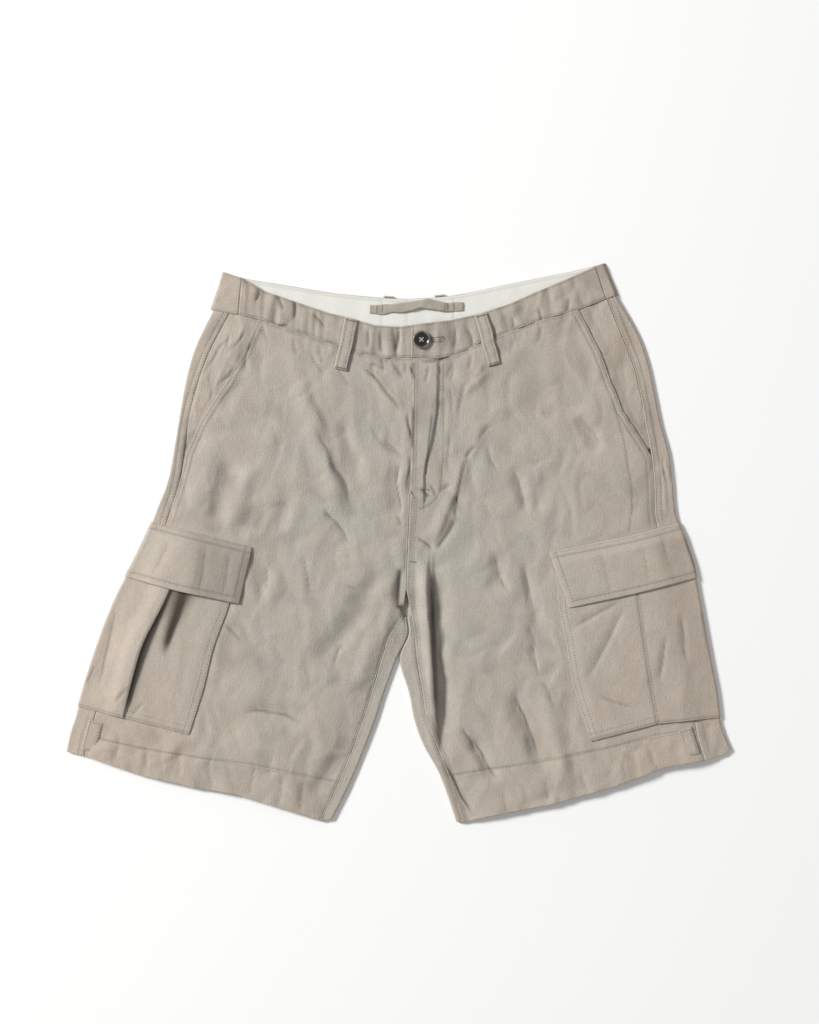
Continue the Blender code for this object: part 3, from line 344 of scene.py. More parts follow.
LEFT_POCKET_CREASES = bent(
    Fold, (248, -60, 222, -75, 184, -97, -0.8, 6, 9), (250, -62, 234, -104, 202, -157, -0.9, 7, 10),
    (294, -97, 291, -126, 286, -157, -0.9, 5, 6), (310, -71, 314, -104, 316, -137, -0.8, 7, 7),
    (331, -62, 338, -102, 342, -141, -0.6, 6, 6), (218, -166, 239, -177, 266, -181, -0.6, 6, 6),
)
RIGHT_FLAP_CREASES = bent(
    Fold, (-212, 1, -215, -27, -220, -56, -0.6, 8, 8), (-185, -5, -189, -31, -195, -62, -0.5, 6, 6),
    (-251, 6, -260, -14, -273, -40, -0.5, 7, 7),
)
LEFT_FLAP_CREASES = bent(
    Fold, (220, -3, 227, -34, 233, -62, -0.5, 10, 10), (266, 4, 271, -20, 274, -51, -0.4, 8, 8),
    (288, 10, 296, -18, 303, -45, -0.6, 9, 9), (312, 13, 323, -14, 330, -37, -1.0, 5, 5),
)
# X and height of the dents across each hem and of those that hang from the waist seam
HEM_DENTS = (
    (-311, -0.5), (-277, -0.6), (-240, -0.4), (-206, -0.5), (-162, -0.6), (-130, -0.5), (-106, -0.6),
    (114, -0.4), (163, -0.5), (203, -0.5), (248, -0.5), (279, -0.4),
)
WAIST_DENTS = (
    (-150, -0.5), (-119, -0.5), (-89, -0.5), (-29, -0.6), (-3, -0.6), (33, -0.5), (59, -0.6), (79, -0.5),
    (128, -0.5), (157, -0.5),
)


def dent(line, x, height, above, below, lean, reach):
    y = line_at(line, x)
    return Fold((x, y + above), (x + 0.2 * lean, (2 * y + above + below) / 2), (x + lean, y + below),
                height, reach, reach)


LEG_CREASES = RIGHT_CREASES + LEFT_CREASES + RIGHT_SIDE_CREASES + LEFT_SIDE_CREASES
LEG_CREASES += tuple(dent(RIGHT_HEM, x, height, 40, 0, -4, 6.5) if x < 0 else
                     dent(LEFT_HEM, x, height, 29, 2, 4, 6) for x, height in HEM_DENTS)
LEG_CREASES += tuple(dent(WAIST_SEAM, x, height, -6, -28, -np.sign(x) * 6, 4) for x, height in WAIST_DENTS)
print(len(LEG_CREASES), "creases on the legs")

# %% [markdown]
# In the narrowest places the cloth folds under itself and almost no light comes; there, and
# in a few broader patches, shade is painted into the colour. Each such painted shade is a
# bent line with a strength and a half width.

# %% Shades
Shade = namedtuple("Shade", "start middle end strength half")

PAINTED_SHADES = bent(
    Shade, (36, -20, 38, -104, 43, -240, 0.56, 4.2), (35, -40, 37, -104, 40, -190, 0.3, 4.0),
    (2, -24, -2, -50, -1, -76, 0.82, 2.6), (2, -66, 5, -78, 9, -88, 0.75, 3.2),
    (8, -84, 12, -100, 0, -124, 0.75, 2.2), (16, 201, 16, 190, 16, 180, 0.6, 1.3),
    (16, 154, 16, 128, 15, 102, 0.71, 1.3), (12, 100, 12, 78, 11, 54, 0.3, 1.6),
    (37, 146, 33, 110, 29, 68, 0.6, 1.2), (66, 62, 65, 44, 62, 26, 0.26, 1.6),
    (63, 30, 55, 8, 40, -6, 0.24, 2.6), (-182, 82, -180, 46, -172, 14, 0.2, 9.0),
    (-212, 62, -206, 34, -200, 6, 0.17, 8.0), (-72, 92, -58, 60, -52, 24, 0.11, 10.0),
    (-22, 60, -16, 30, -10, 2, 0.11, 9.0), (-34, -60, -60, -104, -92, -140, 0.11, 12.0),
    (134, -176, 146, -206, 156, -244, 0.11, 10.0), (50, -236, 64, -268, 84, -298, 0.12, 6.0),
)
print(len(PAINTED_SHADES), "shades")

# %% [markdown]
# One function adds all the folds of a list. Only the points near a fold are touched, which
# keeps it quick.

# %% Adding folds to a surface
FOLD_SPANS = 6
FOLD_TAPER = 0.3
CRISP_POWER = 1.7
LINE_HALF, LINE_SHADE = 1.3, 0.5
# the most shade painted into any colour
DARKEST = 0.95


def bent_line(fold):
    s = np.linspace(0, 1, FOLD_SPANS + 1)[:, None]
    start, middle, end = (np.array(p, float) for p in (fold.start, fold.middle, fold.end))
    return (1 - s) ** 2 * start + 2 * s * (1 - s) * middle + s ** 2 * end


def near_lines(lines, reach_of, x, y):
    """Each bent line with the points in its reach: which, how far off, which side, and taper."""
    for line in lines:
        path = bent_line(line)
        low, high = path.min(axis=0) - reach_of(line), path.max(axis=0) + reach_of(line)
        near = (x > low[0]) & (x < high[0]) & (y > low[1]) & (y < high[1])
        if not near.any():
            continue
        best, along, side = np.full(near.sum(), np.inf), 0.0, 0.0
        for index, ends in enumerate(zip(path, path[1:])):
            distance, share, turned_to = beside(x[near], y[near], *ends)
            closer = distance < best
            best = np.where(closer, distance, best)
            side = np.where(closer, turned_to, side)
            along = np.where(closer, (index + share) / FOLD_SPANS, along)
        yield line, near, best, side, smooth(along / FOLD_TAPER) * smooth((1 - along) / FOLD_TAPER)


def folds_height(folds, x, y, crisp=False):
    """Sum of the folds. A crisp one comes to a line at its deepest, a soft one is rounded."""
    total = np.zeros(np.shape(x))
    for fold, near, off, side, taper in near_lines(folds, lambda f: max(f.left, f.right), x, y):
        depth = np.clip(1 - off / np.where(side > 0, fold.left, fold.right), 0, 1)
        total[near] += fold.height * taper * (depth ** CRISP_POWER if crisp else smooth(depth))
    return total


def painted_crease_shade(folds, x, y):
    """Strength of the thin line of shade painted along the bottom of a sharp crease."""
    total = np.zeros(np.shape(x))
    for fold, near, off, _, taper in near_lines(folds, lambda f: 3 * LINE_HALF, x, y):
        total[near] += LINE_SHADE * max(-fold.height, 0) * taper * np.exp(-(off / LINE_HALF) ** 2)
    return np.clip(total, 0, DARKEST)


# Painted shade from the table of shades.
def painted_deep_shade(x, y):
    total = np.zeros(np.shape(x))
    for shade, near, off, _, taper in near_lines(PAINTED_SHADES, lambda s: 2.5 * s.half, x, y):
        total[near] += shade.strength * smooth(2.5 * taper) * np.exp(-(off / shade.half) ** 2)
    return np.clip(total, 0, DARKEST)


print("main crease lines reach", painted_crease_shade(LEG_CREASES, *np.mgrid[0:80:2.0, 0:90:2.0]).max().round(2))

# %% [markdown]
# Washed linen is never quite flat between its folds. The unevenness is a few layers of soft
# random hills, each on its own grid of values from a fixed seed: broad ones a hand wide,
# smaller and lower ones, and faint sharp ridges where the cloth once creased.

# %% Unevenness of washed linen
GRID_SIZE = 64
GRID_MIDDLE = 31.7, 17.3   # the shorts lie round this place of the grid


def hills(x, y, size, seed, turn=0.0):
    """Smooth random values from -1 to 1, one hill about every size millimetres."""
    values = np.random.default_rng(seed).uniform(-1, 1, (GRID_SIZE, GRID_SIZE))
    x, y = np.nan_to_num(x), np.nan_to_num(y)
    u = (x * math.cos(turn) + y * math.sin(turn)) / size + GRID_MIDDLE[0]
    v = (y * math.cos(turn) - x * math.sin(turn)) / size + GRID_MIDDLE[1]
    column, row = np.floor(u).astype(int), np.floor(v).astype(int)
    fu, fv = u - column, v - row
    fu, fv = fu ** 3 * (fu * (fu * 6 - 15) + 10), fv ** 3 * (fv * (fv * 6 - 15) + 10)
    c0, c1, r0, r1 = (n % GRID_SIZE for n in (column, column + 1, row, row + 1))
    return mix(mix(values[r0, c0], values[r0, c1], fu), mix(values[r1, c0], values[r1, c1], fu), fv)


def crumple(x, y, size, seed):
    """Flat facets that meet in sharp low ridges and valleys."""
    return np.abs(hills(x, y, size, seed, 0.4)) - np.abs(hills(x, y, size, seed + 1, 1.3))


# heights and sizes of the layers; wrinkles run along the leg more than across it
HAND_WIDE, FACETS, WRINKLES, RIPPLES = (0.7, 66), (1.1, 38), (0.8, 17), (0.15, 9)
FACET_STRETCH, WRINKLE_STRETCH = 0.75, 0.55
WRINKLE_SEED = 5


def drifted(x, y, reach=9, size=40, seed=11):
    """Places moved a little sideways, so that nothing runs quite straight."""
    return x + reach * hills(x, y, size, seed), y + reach * hills(x, y, size, seed + 1)


def rumple(x, y):
    x, y = drifted(x, y)
    return (HAND_WIDE[0] * hills(x, y, HAND_WIDE[1], 1, 0.4)
            + FACETS[0] * crumple(x, FACET_STRETCH * y, FACETS[1], 2)
            + WRINKLES[0] * crumple(x, WRINKLE_STRETCH * y, WRINKLES[1], WRINKLE_SEED)
            + RIPPLES[0] * hills(x, y, RIPPLES[1], 8, 0.7))


def waist_wrinkles(x, y):
    """Short upright wrinkles that the gathered waist seam draws into the cloth."""
    near = np.abs(line_at(WAIST_SEAM, x) - y)
    return smooth(1 - near / 34) * crumple(x + 5 * hills(x, y, 20, 18), y * 0.42, 12, 16)


def hollows(x, y):
    """How far each place lies down in the small wrinkles, for a little painted shade there."""
    x, y = drifted(x, y)
    return np.clip(-crumple(x, WRINKLE_STRETCH * y, WRINKLES[1], WRINKLE_SEED), 0, 1)


def wander(x, y):
    """The small drift of a fold from its line."""
    return drifted(x, y, 3.2, 24, 13)


print("rumple reaches", rumple(*np.mgrid[-300:300:5.0, -280:280:5.0]).max().round(2), "mm")

# %% [markdown]
# ## Pockets and flaps: where they lie
# The cargo pockets and their flaps wrap round the outer fold of each leg. Their tables give
# rows from top to bottom: the inner edge on the front of the leg, the pleat, and the
# outline. The leg under them is pressed calm, so its creases fade out there.

# %% Tables of pockets and flaps
POCKET_WALL, FLAP_WALL, LAYER_GAP = 0.8, 1.0, 0.4
PocketRow = namedtuple("PocketRow", "name inner pleat outer lift")
RIGHT_POCKET = (
    ("top", (-173, -17), (-233, 0), (-274.5, 9), 0.0),
    ("flap edge", (-186.5, -67.5), (-257, -61), (-309, -46), 1.2),
    ("upper", (-203, -113), (-281, -109.5), (-329.7, -95), 3.6),
    ("lower", (-215, -161), (-294, -152), (-342, -137), 2.8),
    ("bottom", (-230.5, -210.5), (-304, -191.5), (-352, -180), 0.0),
)
LEFT_POCKET = (
    ("top", (173, -25), (256, -4), (313, 9), 0.0),
    ("flap edge", (176.5, -70), (263, -55.5), (330, -42), 0.0),
    ("upper", (184, -108), (269, -99.5), (338.5, -84), 0.0),
    ("lower", (192, -154.5), (276.5, -151), (347, -137), 0.0),
    ("bottom", (212, -218), (285, -198.5), (353, -192), 0.0),
)
POCKET_TABLES = {"right": [PocketRow(*row) for row in RIGHT_POCKET],
                 "left": [PocketRow(*row) for row in LEFT_POCKET]}
Flap = namedtuple("Flap", "inner_top ridge_top outer_top inner_low ridge_low outer_low bulge")
FLAPS = {
    "right": Flap((-161, -4), (-229, 13), (-270, 23.6), (-175.5, -66.5), (-243, -52), (-301, -37), 1.0),
    "left": Flap((165.5, -9.4), (254.7, 8.3), (308.5, 22.5), (187.5, -71), (261, -55), (330, -38.5), 0.25),
}
COVER_FADE, COVER_CALM = 9.0, 0.8


def covered(x, y):
    """1 where a pocket or flap lies on the leg, 0 well clear of both."""
    share = np.zeros(np.shape(x))
    for side, table in POCKET_TABLES.items():
        sign = 1 if side == "left" else -1
        flap = FLAPS[side]
        inner = [(row.inner[1], row.inner[0]) for row in reversed(table)]
        edge = line_at(inner + [(flap.inner_top[1], flap.inner_top[0])], y)
        in_x = smooth((sign * (x - edge) + COVER_FADE) / COVER_FADE)
        top = line_at(sorted([flap.inner_top, flap.ridge_top, flap.outer_top]), x)
        low = line_at(sorted([table[-1].inner, table[-1].pleat, table[-1].outer]), x)
        in_y = smooth((top - y + COVER_FADE) / COVER_FADE) * smooth((y - low + COVER_FADE) / COVER_FADE)
        share = np.maximum(share, in_x * in_y)
    return share


print("a point under the right pocket is covered:", covered(np.array([-260.0]), np.array([-90.0])))

# %% [markdown]
# The middle of the leg's cloth is now one function of X and Y. Front, side strip and
# inseam strip all use it, so they meet at their seams.

# %% The surface of the legs
LOOSE_REACH = 14.0
WAIST_CALM = 0.55
CREASE_GAIN, CREASE_UNEVEN = 1.9, 0.4
WAIST_WRINKLES = 0.9
BAND_HOLD = 12.0           # the waistband holds the cloth flat over this much


def leg_height(x, y):
    loose = smooth((turn_distance(x, y) - FOLD_RADIUS) / LOOSE_REACH) * (1 - covered(x, y))
    held = smooth((line_at(WAIST_SEAM, x) - y) / BAND_HOLD)
    moved = rumple(x, y) * loose * mix(WAIST_CALM, 1.0, 1 - waist_blend(x, y)) * held
    moved = moved + WAIST_WRINKLES * waist_wrinkles(x, y)
    near = wander(x, y)
    uneven = 1 + CREASE_UNEVEN * hills(x, y, 17, 15)
    creases = folds_height(LEG_CREASES, *near, crisp=True)
    moved = moved + CREASE_GAIN * uneven * creases * (1 - covered(x, y))
    height = calm_height(x, y) + folds_height(LARGE_FOLDS, *near) + moved
    return np.maximum(height, LOWEST_FRONT)


# %% [markdown]
# ## Finishes
# Colours are written in sRGB, as the web does. One function makes them linear for the
# shaders, and another adds a node with its settings and links.

# %% Colour and node helpers
def linear(code):
    """Linear colour from an sRGB hex code."""
    parts = [int(code[i:i + 2], 16) / 255 for i in (1, 3, 5)]
    return [p / 12.92 if p <= 0.04045 else ((p + 0.055) / 1.055) ** 2.4 for p in parts] + [1.0]


def add(tree, kind, inputs=(), output=0, **settings):
    """Adds a node, sets its properties, fills its inputs with values or links, gives an output."""
    node = tree.nodes.new(kind)
    for name, value in settings.items():
        setattr(node, name, value)
    for name, value in dict(inputs).items():
        if isinstance(value, bpy.types.NodeSocket):
            tree.links.new(value, node.inputs[name])
        else:
            node.inputs[name].default_value = value
    return node.outputs[output]


def new_material(name, **values):
    """Material whose shader has these values; an underscore stands for a space in a name."""
    material = bpy.data.materials.new(name)
    material.use_nodes = True
    tree = material.node_tree
    shader = tree.nodes["Principled BSDF"]
    for socket, value in values.items():
        shader.inputs[socket.replace("_", " ")].default_value = value
    return material, tree, shader


print("stone beige in linear light:", [round(v, 3) for v in linear("#b8aea0")])

# %% [markdown]
# The shorts are plain-woven linen, dyed stone beige and washed. Slubs, the thick places in
# the yarn, show as short streaks along and across the cloth; the wash left a cloudy colour,
# a little pinker here and greener there; and the surface is matt, with a faint bloom of
# loose fibres. Real threads are too fine for a picture of the whole garment, so the grain
# is drawn about twice as coarse. Seams are rubbed paler on their edges. Shade is painted
# into the colour: in stitched furrows, along creases, in hollows and in narrow folds; and
# the edges are painted pinker and the middle greener, a painted warm cast of light. Each
# mesh carries its rubbed places and its painted shade as attributes.

# %% Washed linen
WEAVE = "weave"            # the UV map: millimetres along and across the grain, as metres
SLUB_LENGTH, SLUB_WIDTH = 10.0, 1.2
CROSS_LENGTH, CROSS_WIDTH = 8.0, 1.1
GRAIN = 1.3
CLOUD, TINT_CLOUD = 26.0, 48.0
TINT_SHARE = 0.56
MIDDLE_TINT = (3.4, 2.6, 0.0)     # painted greener in the middle and pinker at the edges, a painted warm cast of light
MIDDLE_SPAN, TINT_SPAN, YARN_SPAN = (1.15, 0.35), (0.5, 1.45), (0.44, 0.68)
YARN_SHARES = (0.34, 0.24, 0.32, 0.22)     # of slubs, cross slubs, grain and cloud
RELIEF_SHARES = (0.4, 0.35, 0.6)           # of slubs, cross slubs and grain


def pattern(tree, where, across, along, detail=2.0):
    """Random pattern whose patches are across by along millimetres."""
    scaled = add(tree, "ShaderNodeMapping", {"Vector": where, "Scale": (
        1000 / across, 1000 / along, 1000 / max(across, along))})
    return add(tree, "ShaderNodeTexNoise", {
        "Vector": scaled, "Scale": 1.0, "Detail": detail, "Roughness": 0.55})


def weigh(tree, parts):
    """Sum of patterns, each times its weight."""
    total = 0.0
    for socket, weight in parts:
        total = add(tree, "ShaderNodeMath", {0: socket, 1: weight, 2: total}, operation="MULTIPLY_ADD")
    return total


def between(tree, value, low, high):
    """0 where the value is low, 1 where it is high."""
    return add(tree, "ShaderNodeMapRange", {"Value": value, "From Min": low, "From Max": high})


def blend_colours(tree, share, first, second):
    return add(tree, "ShaderNodeMix", {0: share, 6: first, 7: second}, 2, data_type="RGBA")


# pale is the colour of rubbed wear; deep is the colour of painted shade.
def woven(name, dark, light, pink, green, pale, deep, relief_strength=0.7):
    material, tree, shader = new_material(
        name, Roughness=0.88, Sheen_Weight=0.12, Sheen_Roughness=0.5, Specular_IOR_Level=0.25)
    where = add(tree, "ShaderNodeUVMap", uv_map=WEAVE)
    slubs = pattern(tree, where, SLUB_WIDTH, SLUB_LENGTH)
    cross = pattern(tree, where, CROSS_LENGTH, CROSS_WIDTH)
    grain = pattern(tree, where, GRAIN, GRAIN, 1.0)
    cloud = pattern(tree, where, CLOUD, CLOUD * 1.4, 3.0)
    tint = pattern(tree, where, TINT_CLOUD, TINT_CLOUD)
    place = add(tree, "ShaderNodeTexCoord", output="Object")
    spot = add(tree, "ShaderNodeVectorMath", {0: place, 1: MIDDLE_TINT}, operation="MULTIPLY")
    away = add(tree, "ShaderNodeVectorMath", {0: spot}, "Value", operation="LENGTH")
    # The tint clouds are the cloth's own; the greener middle and pinker edges are a painted warm cast of
    # light.
    side = weigh(tree, ((tint, 1.2), (between(tree, away, *MIDDLE_SPAN), 0.75)))
    yarn = weigh(tree, zip((slubs, cross, grain, cloud), YARN_SHARES))
    colour = blend_colours(tree, between(tree, yarn, *YARN_SPAN), linear(dark), linear(light))
    tinted = blend_colours(tree, between(tree, side, *TINT_SPAN), linear(pink), linear(green))
    colour = blend_colours(tree, TINT_SHARE, colour, tinted)
    # Rubbed edges turn paler with wear; the second attribute paints shade in, towards the deep colour.
    for label, wear_and_painted_shade_colour in (("rubbed", pale), ("sunk_and_painted_shade", deep)):
        share = add(tree, "ShaderNodeAttribute", output="Fac", attribute_name=label)
        colour = blend_colours(tree, share, colour, linear(wear_and_painted_shade_colour))
    relief = weigh(tree, zip((slubs, cross, grain), RELIEF_SHARES))
    bump = add(tree, "ShaderNodeBump", {"Height": relief, "Strength": relief_strength, "Distance": 0.0013})
    tree.links.new(colour, shader.inputs["Base Color"])
    tree.links.new(bump, shader.inputs["Normal"])
    return material


# Colours: dark and light yarn, pink and green tint, rubbed wear, and painted shade.
LINEN = woven("stone beige washed linen", "#9c938a", "#c4bcb2", "#bfad9b", "#afaca1",
              "#c6beb3", "#4c453d")
print("made", LINEN.name)

# %% [markdown]
# The inside of the waistband is faced with undyed cotton poplin: smoother, brighter and
# with a tighter grain than the linen. The hanger tape is the shorts' own linen, cut on the
# cross and a shade greyer.

# %% Cotton facing, hanger tape and thread
# Colours of each: dark and light yarn, pink and green tint, rubbed wear, and painted shade.
FACING = woven("undyed cotton poplin facing", "#dad9d1", "#eceae4", "#e6e4dc", "#e2e3da",
               "#f2f1ec", "#a9a79d", 0.3)
TAPE = woven("grey beige linen tape", "#9d9588", "#b5ad9f", "#aaa093", "#a8a498",
             "#c0b8ab", "#827a6e")
THREAD = new_material("matt polyester sewing thread", Roughness=0.6, Sheen_Weight=0.2,
                      Base_Color=linear("#8b8173"))[0]
print("made", FACING.name, "and", TAPE.name, "and", THREAD.name)

# %% [markdown]
# The button is black cast polyester, the only shiny thing on the shorts: its rim catches
# the studio light, with a paler ring painted on the rim as a highlight, and fine marks from
# wear keep it from looking like glass.

# %% Polished polyester for the button
BUTTON_MIDDLE = (0.0253, 0.2242, 0.0125)
BUTTON_BLACK, tree, shader = new_material("polished black cast polyester",
                                          Coat_Weight=0.5, Coat_Roughness=0.08)
local = add(tree, "ShaderNodeTexCoord", output="Object")
marks = pattern(tree, local, 0.6, 2.5, 3.0)
dull = add(tree, "ShaderNodeMapRange", {"Value": marks, "To Min": 0.1, "To Max": 0.32})
streaks = blend_colours(tree, pattern(tree, local, 3.0, 9.0), linear("#0c0b0b"), linear("#2b2724"))
# A paler ring on the rim: a painted highlight.
radius = add(tree, "ShaderNodeVectorMath", {0: local, 1: BUTTON_MIDDLE}, "Value", operation="DISTANCE")
painted_rim_highlight = add(tree, "ShaderNodeMath", {
    0: between(tree, radius, 0.0074, 0.0088), 1: pattern(tree, local, 7.0, 7.0, 1.0)}, operation="MULTIPLY")
tree.links.new(blend_colours(tree, painted_rim_highlight, streaks, linear("#a39d94")), shader.inputs["Base Color"])
tree.links.new(dull, shader.inputs["Roughness"])
print("made", BUTTON_BLACK.name)

# %% [markdown]
# ## Turning a grid of points into cloth
# Every panel is a grid of points on the middle of its cloth; empty places in it are
# not-a-number. The helper makes the faces, lays the weave's UV map along the grain, stores
# where edges are rubbed and how much shade is painted in, and gives the wall with a
# Solidify modifier.

# %% The cloth helper
PIECES = {}


def made_of(name, points, edges=(), faces=(), material=None):
    """Object in the scene with a mesh of these points, edges and faces."""
    mesh = bpy.data.meshes.new(name)
    mesh.from_pydata(points, edges, faces)
    if material is not None:
        mesh.materials.append(material)
    made = bpy.data.objects.new(name, mesh)
    bpy.context.scene.collection.objects.link(made)
    return made


def applied(thing):
    """What the modifiers of an object make, as a plain mesh."""
    graph = bpy.context.evaluated_depsgraph_get()
    return bpy.data.meshes.new_from_object(thing.evaluated_get(graph))


def triangles(thing):
    return sum(len(face.vertices) - 2 for face in thing.data.polygons)


def cloth(name, grid, wall, grain=0.0, weave=None, walls=None, rubbed=None, sunk_and_painted_shade=None,
          material=LINEN, slot="linen"):
    """One panel: grid is rows x columns x XYZ in millimetres."""
    rows, columns, _ = grid.shape
    flat = grid.reshape(-1, 3)
    real = ~np.isnan(flat[:, 0])
    numbers = np.cumsum(real) - 1
    numbers[~real] = -1
    numbers = numbers.reshape(rows, columns)
    faces = np.stack([numbers[:-1, :-1], numbers[:-1, 1:], numbers[1:, 1:], numbers[1:, :-1]], axis=-1)
    faces = faces.reshape(-1, 4)
    faces = faces[(faces >= 0).all(axis=1)]
    points = flat[real] * MM
    made = made_of(name, points.tolist(), [], faces.tolist(), material)
    mesh = made.data
    mesh.polygons.foreach_set("use_smooth", [True] * len(faces))
    if weave is None:
        x, y = points[:, 0], points[:, 1]
        weave = np.stack([x * math.cos(grain) + y * math.sin(grain),
                          y * math.cos(grain) - x * math.sin(grain)], axis=1)
    else:
        weave = weave.reshape(-1, 2)[real] * MM
    corners = np.empty(len(mesh.loops), int)
    mesh.loops.foreach_get("vertex_index", corners)
    mesh.uv_layers.new(name=WEAVE).data.foreach_set("uv", weave[corners].ravel())
    # Rubbed wear and painted shade go to the mesh as attributes.
    for label, values in (("rubbed", rubbed), ("sunk_and_painted_shade", sunk_and_painted_shade)):
        if values is None:
            values = np.zeros((rows, columns))
        stored = mesh.attributes.new(label, "FLOAT", "POINT")
        stored.data.foreach_set("value", np.clip(values.reshape(-1)[real], 0, 1).astype(np.float32))
    solidify = made.modifiers.new("wall", "SOLIDIFY")
    solidify.thickness = wall * MM
    solidify.offset = 0.0
    solidify.use_even_offset = True
    solidify.use_quality_normals = True
    if walls is not None:
        group = made.vertex_groups.new(name="wall")
        shares = (walls[:, None] / wall * np.ones((rows, columns))).reshape(-1)[real]
        for number, share in enumerate(shares.tolist()):
            group.add([number], share, "REPLACE")
        solidify.vertex_group = group.name
        solidify.thickness_vertex_group = 0.0
    made.data = applied(made)
    made.modifiers.clear()
    made.vertex_groups.clear()
    PIECES[name] = (made, slot)
    print(f"{name}: {len(points)} points, {triangles(made)} triangles")
    return made


# %% [markdown]
# Sewn edges are rounded over, because the cloth turns under there, and stitching pulls it
# down into a furrow with small puckers across. Both depend only on how far a point is from
# the panel's edge, measured along the grid.

# %% Rounded edges, furrows and puckers
ROLL_DEPTH, ROLL_REACH = 0.2, 1.4
FURROW_DEPTH, FURROW_REACH = 0.16, 1.25
PUCKER_HEIGHT, PUCKER_REACH = 0.26, 7.0
LEG_SEAM_SHADE, BAND_SEAM_SHADE, SEAM_SHADE = 0.25, 0.18, 0.2     # how much shade is painted into a stitched furrow
GRAIN_LEAN, POCKET_LEAN = 0.16, 0.2                               # radians that a leg's grain leans


def run(grid, axis, back=False):
    """Distance of each point from the grid's first or last row or column."""
    steps = np.nan_to_num(np.linalg.norm(np.diff(grid[..., :2], axis=axis), axis=-1))
    start = np.zeros_like(np.take(steps, [0], axis=axis))
    total = np.concatenate([start, np.cumsum(steps, axis=axis)], axis=axis)
    return np.take(total, [-1], axis=axis) - total if back else total


def rolled(distance):
    return -ROLL_DEPTH * np.exp(-(distance / ROLL_REACH) ** 2)


def furrow(distance, at):
    return np.exp(-((distance - at) / FURROW_REACH) ** 2)


def worn(distance, amount=0.25, reach=1.4):
    """How pale an edge has rubbed, this far in from it."""
    return amount * np.exp(-(distance / reach) ** 2)


def from_sides(grid, axis=1):
    return np.minimum(run(grid, axis), run(grid, axis, back=True))


def puckers(x, y, distance, seed=21, amount=1.0):
    waves = hills(x, y, 5.5, seed, 0.3) + 0.7 * hills(x, y, 10, seed + 1, 1.0)
    return PUCKER_HEIGHT * amount * waves * np.exp(-(distance / PUCKER_REACH) ** 2)


print("an edge is rounded down by", ROLL_DEPTH, "mm")

# %% [markdown]
# ## The fronts
# Each front runs from the centre seam, or lower down the inseam, to the slash pocket's
# opening and the side seam. Its columns stand close together beside both edges, for the
# rounded edge and the topstitching, and the left front is lifted at the fly, where it laps
# over the right one on a stitched shield of several layers.

# %% Edges of a front
EDGE_STEPS = (0.0, 0.7, 1.5, 2.4, 3.4, 4.6, 5.8, 7.0, 8.3, 9.8, 11.5, 13.5)
COLUMN_GAP = 2.25
EDGE_FADE = 4.0


def fit_edges(grid, places, top_lines, hem_line):
    """Bends the first and last rows onto the waist and hem lines, fading between them."""
    for column, top_line in enumerate(top_lines):
        first, last = grid[0, column], grid[-1, column]
        shift = 0.0 if np.isnan(first[0]) else line_at(top_line, first[0]) - first[1]
        rise = line_at(hem_line, last[0]) - last[1]
        grid[:, column, 1] += shift * np.maximum(0, 1 - places / EDGE_FADE)
        grid[:, column, 1] += rise * np.maximum(0, 1 - (HEM - places) / EDGE_FADE)


def shares_across(width, near=EDGE_STEPS):
    """Shares across a panel, close together at both edges."""
    near, far = np.array(near), np.array(EDGE_STEPS)
    count = int((width - near[-1] - far[-1]) / COLUMN_GAP)
    inner = np.linspace(near[-1], width - far[-1], count)
    return np.concatenate([near[:-1], inner, width - far[:-1][::-1]]) / width


def front_edges(side, lap):
    leg = LEGS[side]
    centre = leg.centre.copy()
    centre[:, 0] += np.where(PLACES < FLY_END, lap * np.minimum(1, FLY_END - PLACES),
                             leg.outward * SEAM_GAP / 2)
    edge = leg.side + leg.slash
    edge[:, 0] -= leg.outward * SEAM_GAP / 2
    return centre, edge


print(len(shares_across(230.0)), "columns across a front")

# %% Heights and seams of a front
FLY_RISE = 2.2
FLY_STEP = 1.3             # the shield's thick edge shows as a step this wide
FLY_FOOT, FLY_FOOT_REACH, FLY_TOP = 34, 20, 205
HEM_SEEN = 1.4             # the hem's second layer shows less than its wall in the solid
FLY_COLUMNS = tuple(np.arange(0, 36, 1.15))
J_STITCH = (
    (49, 196), (49, 97), (47, 77), (45.5, 59), (41.5, 50), (35, 43), (24, 39),
)
POCKET_BAG_STITCH = ((235, 158), (247, 118), (255, 71), (257, 38), (253, 14))
INSEAM_STITCH, CENTRE_DOUBLE_STITCH = 2.4, 5.5
SLASH_FURROW, SLASH_STITCHES = 2.0, (1.8, 7.0)
WAIST_STITCH = 2.2
HEM_STITCH = 2.5           # above the hem's step, where the hem is sewn down
HOLLOW_SHADE = 0.2


def fly_rise(x, y):
    edge = line_at(FLY_EDGE, y)
    lapped = smooth((edge + FLY_STEP - x) / FLY_STEP)
    return FLY_RISE * lapped * smooth((y - FLY_FOOT) / FLY_FOOT_REACH)


def hem_ripple(x, y, below):
    """The hem waves a little where its two layers shrank differently."""
    return 0.45 * hills(x, y * 0.35, 15, 31) * smooth(below / 12)


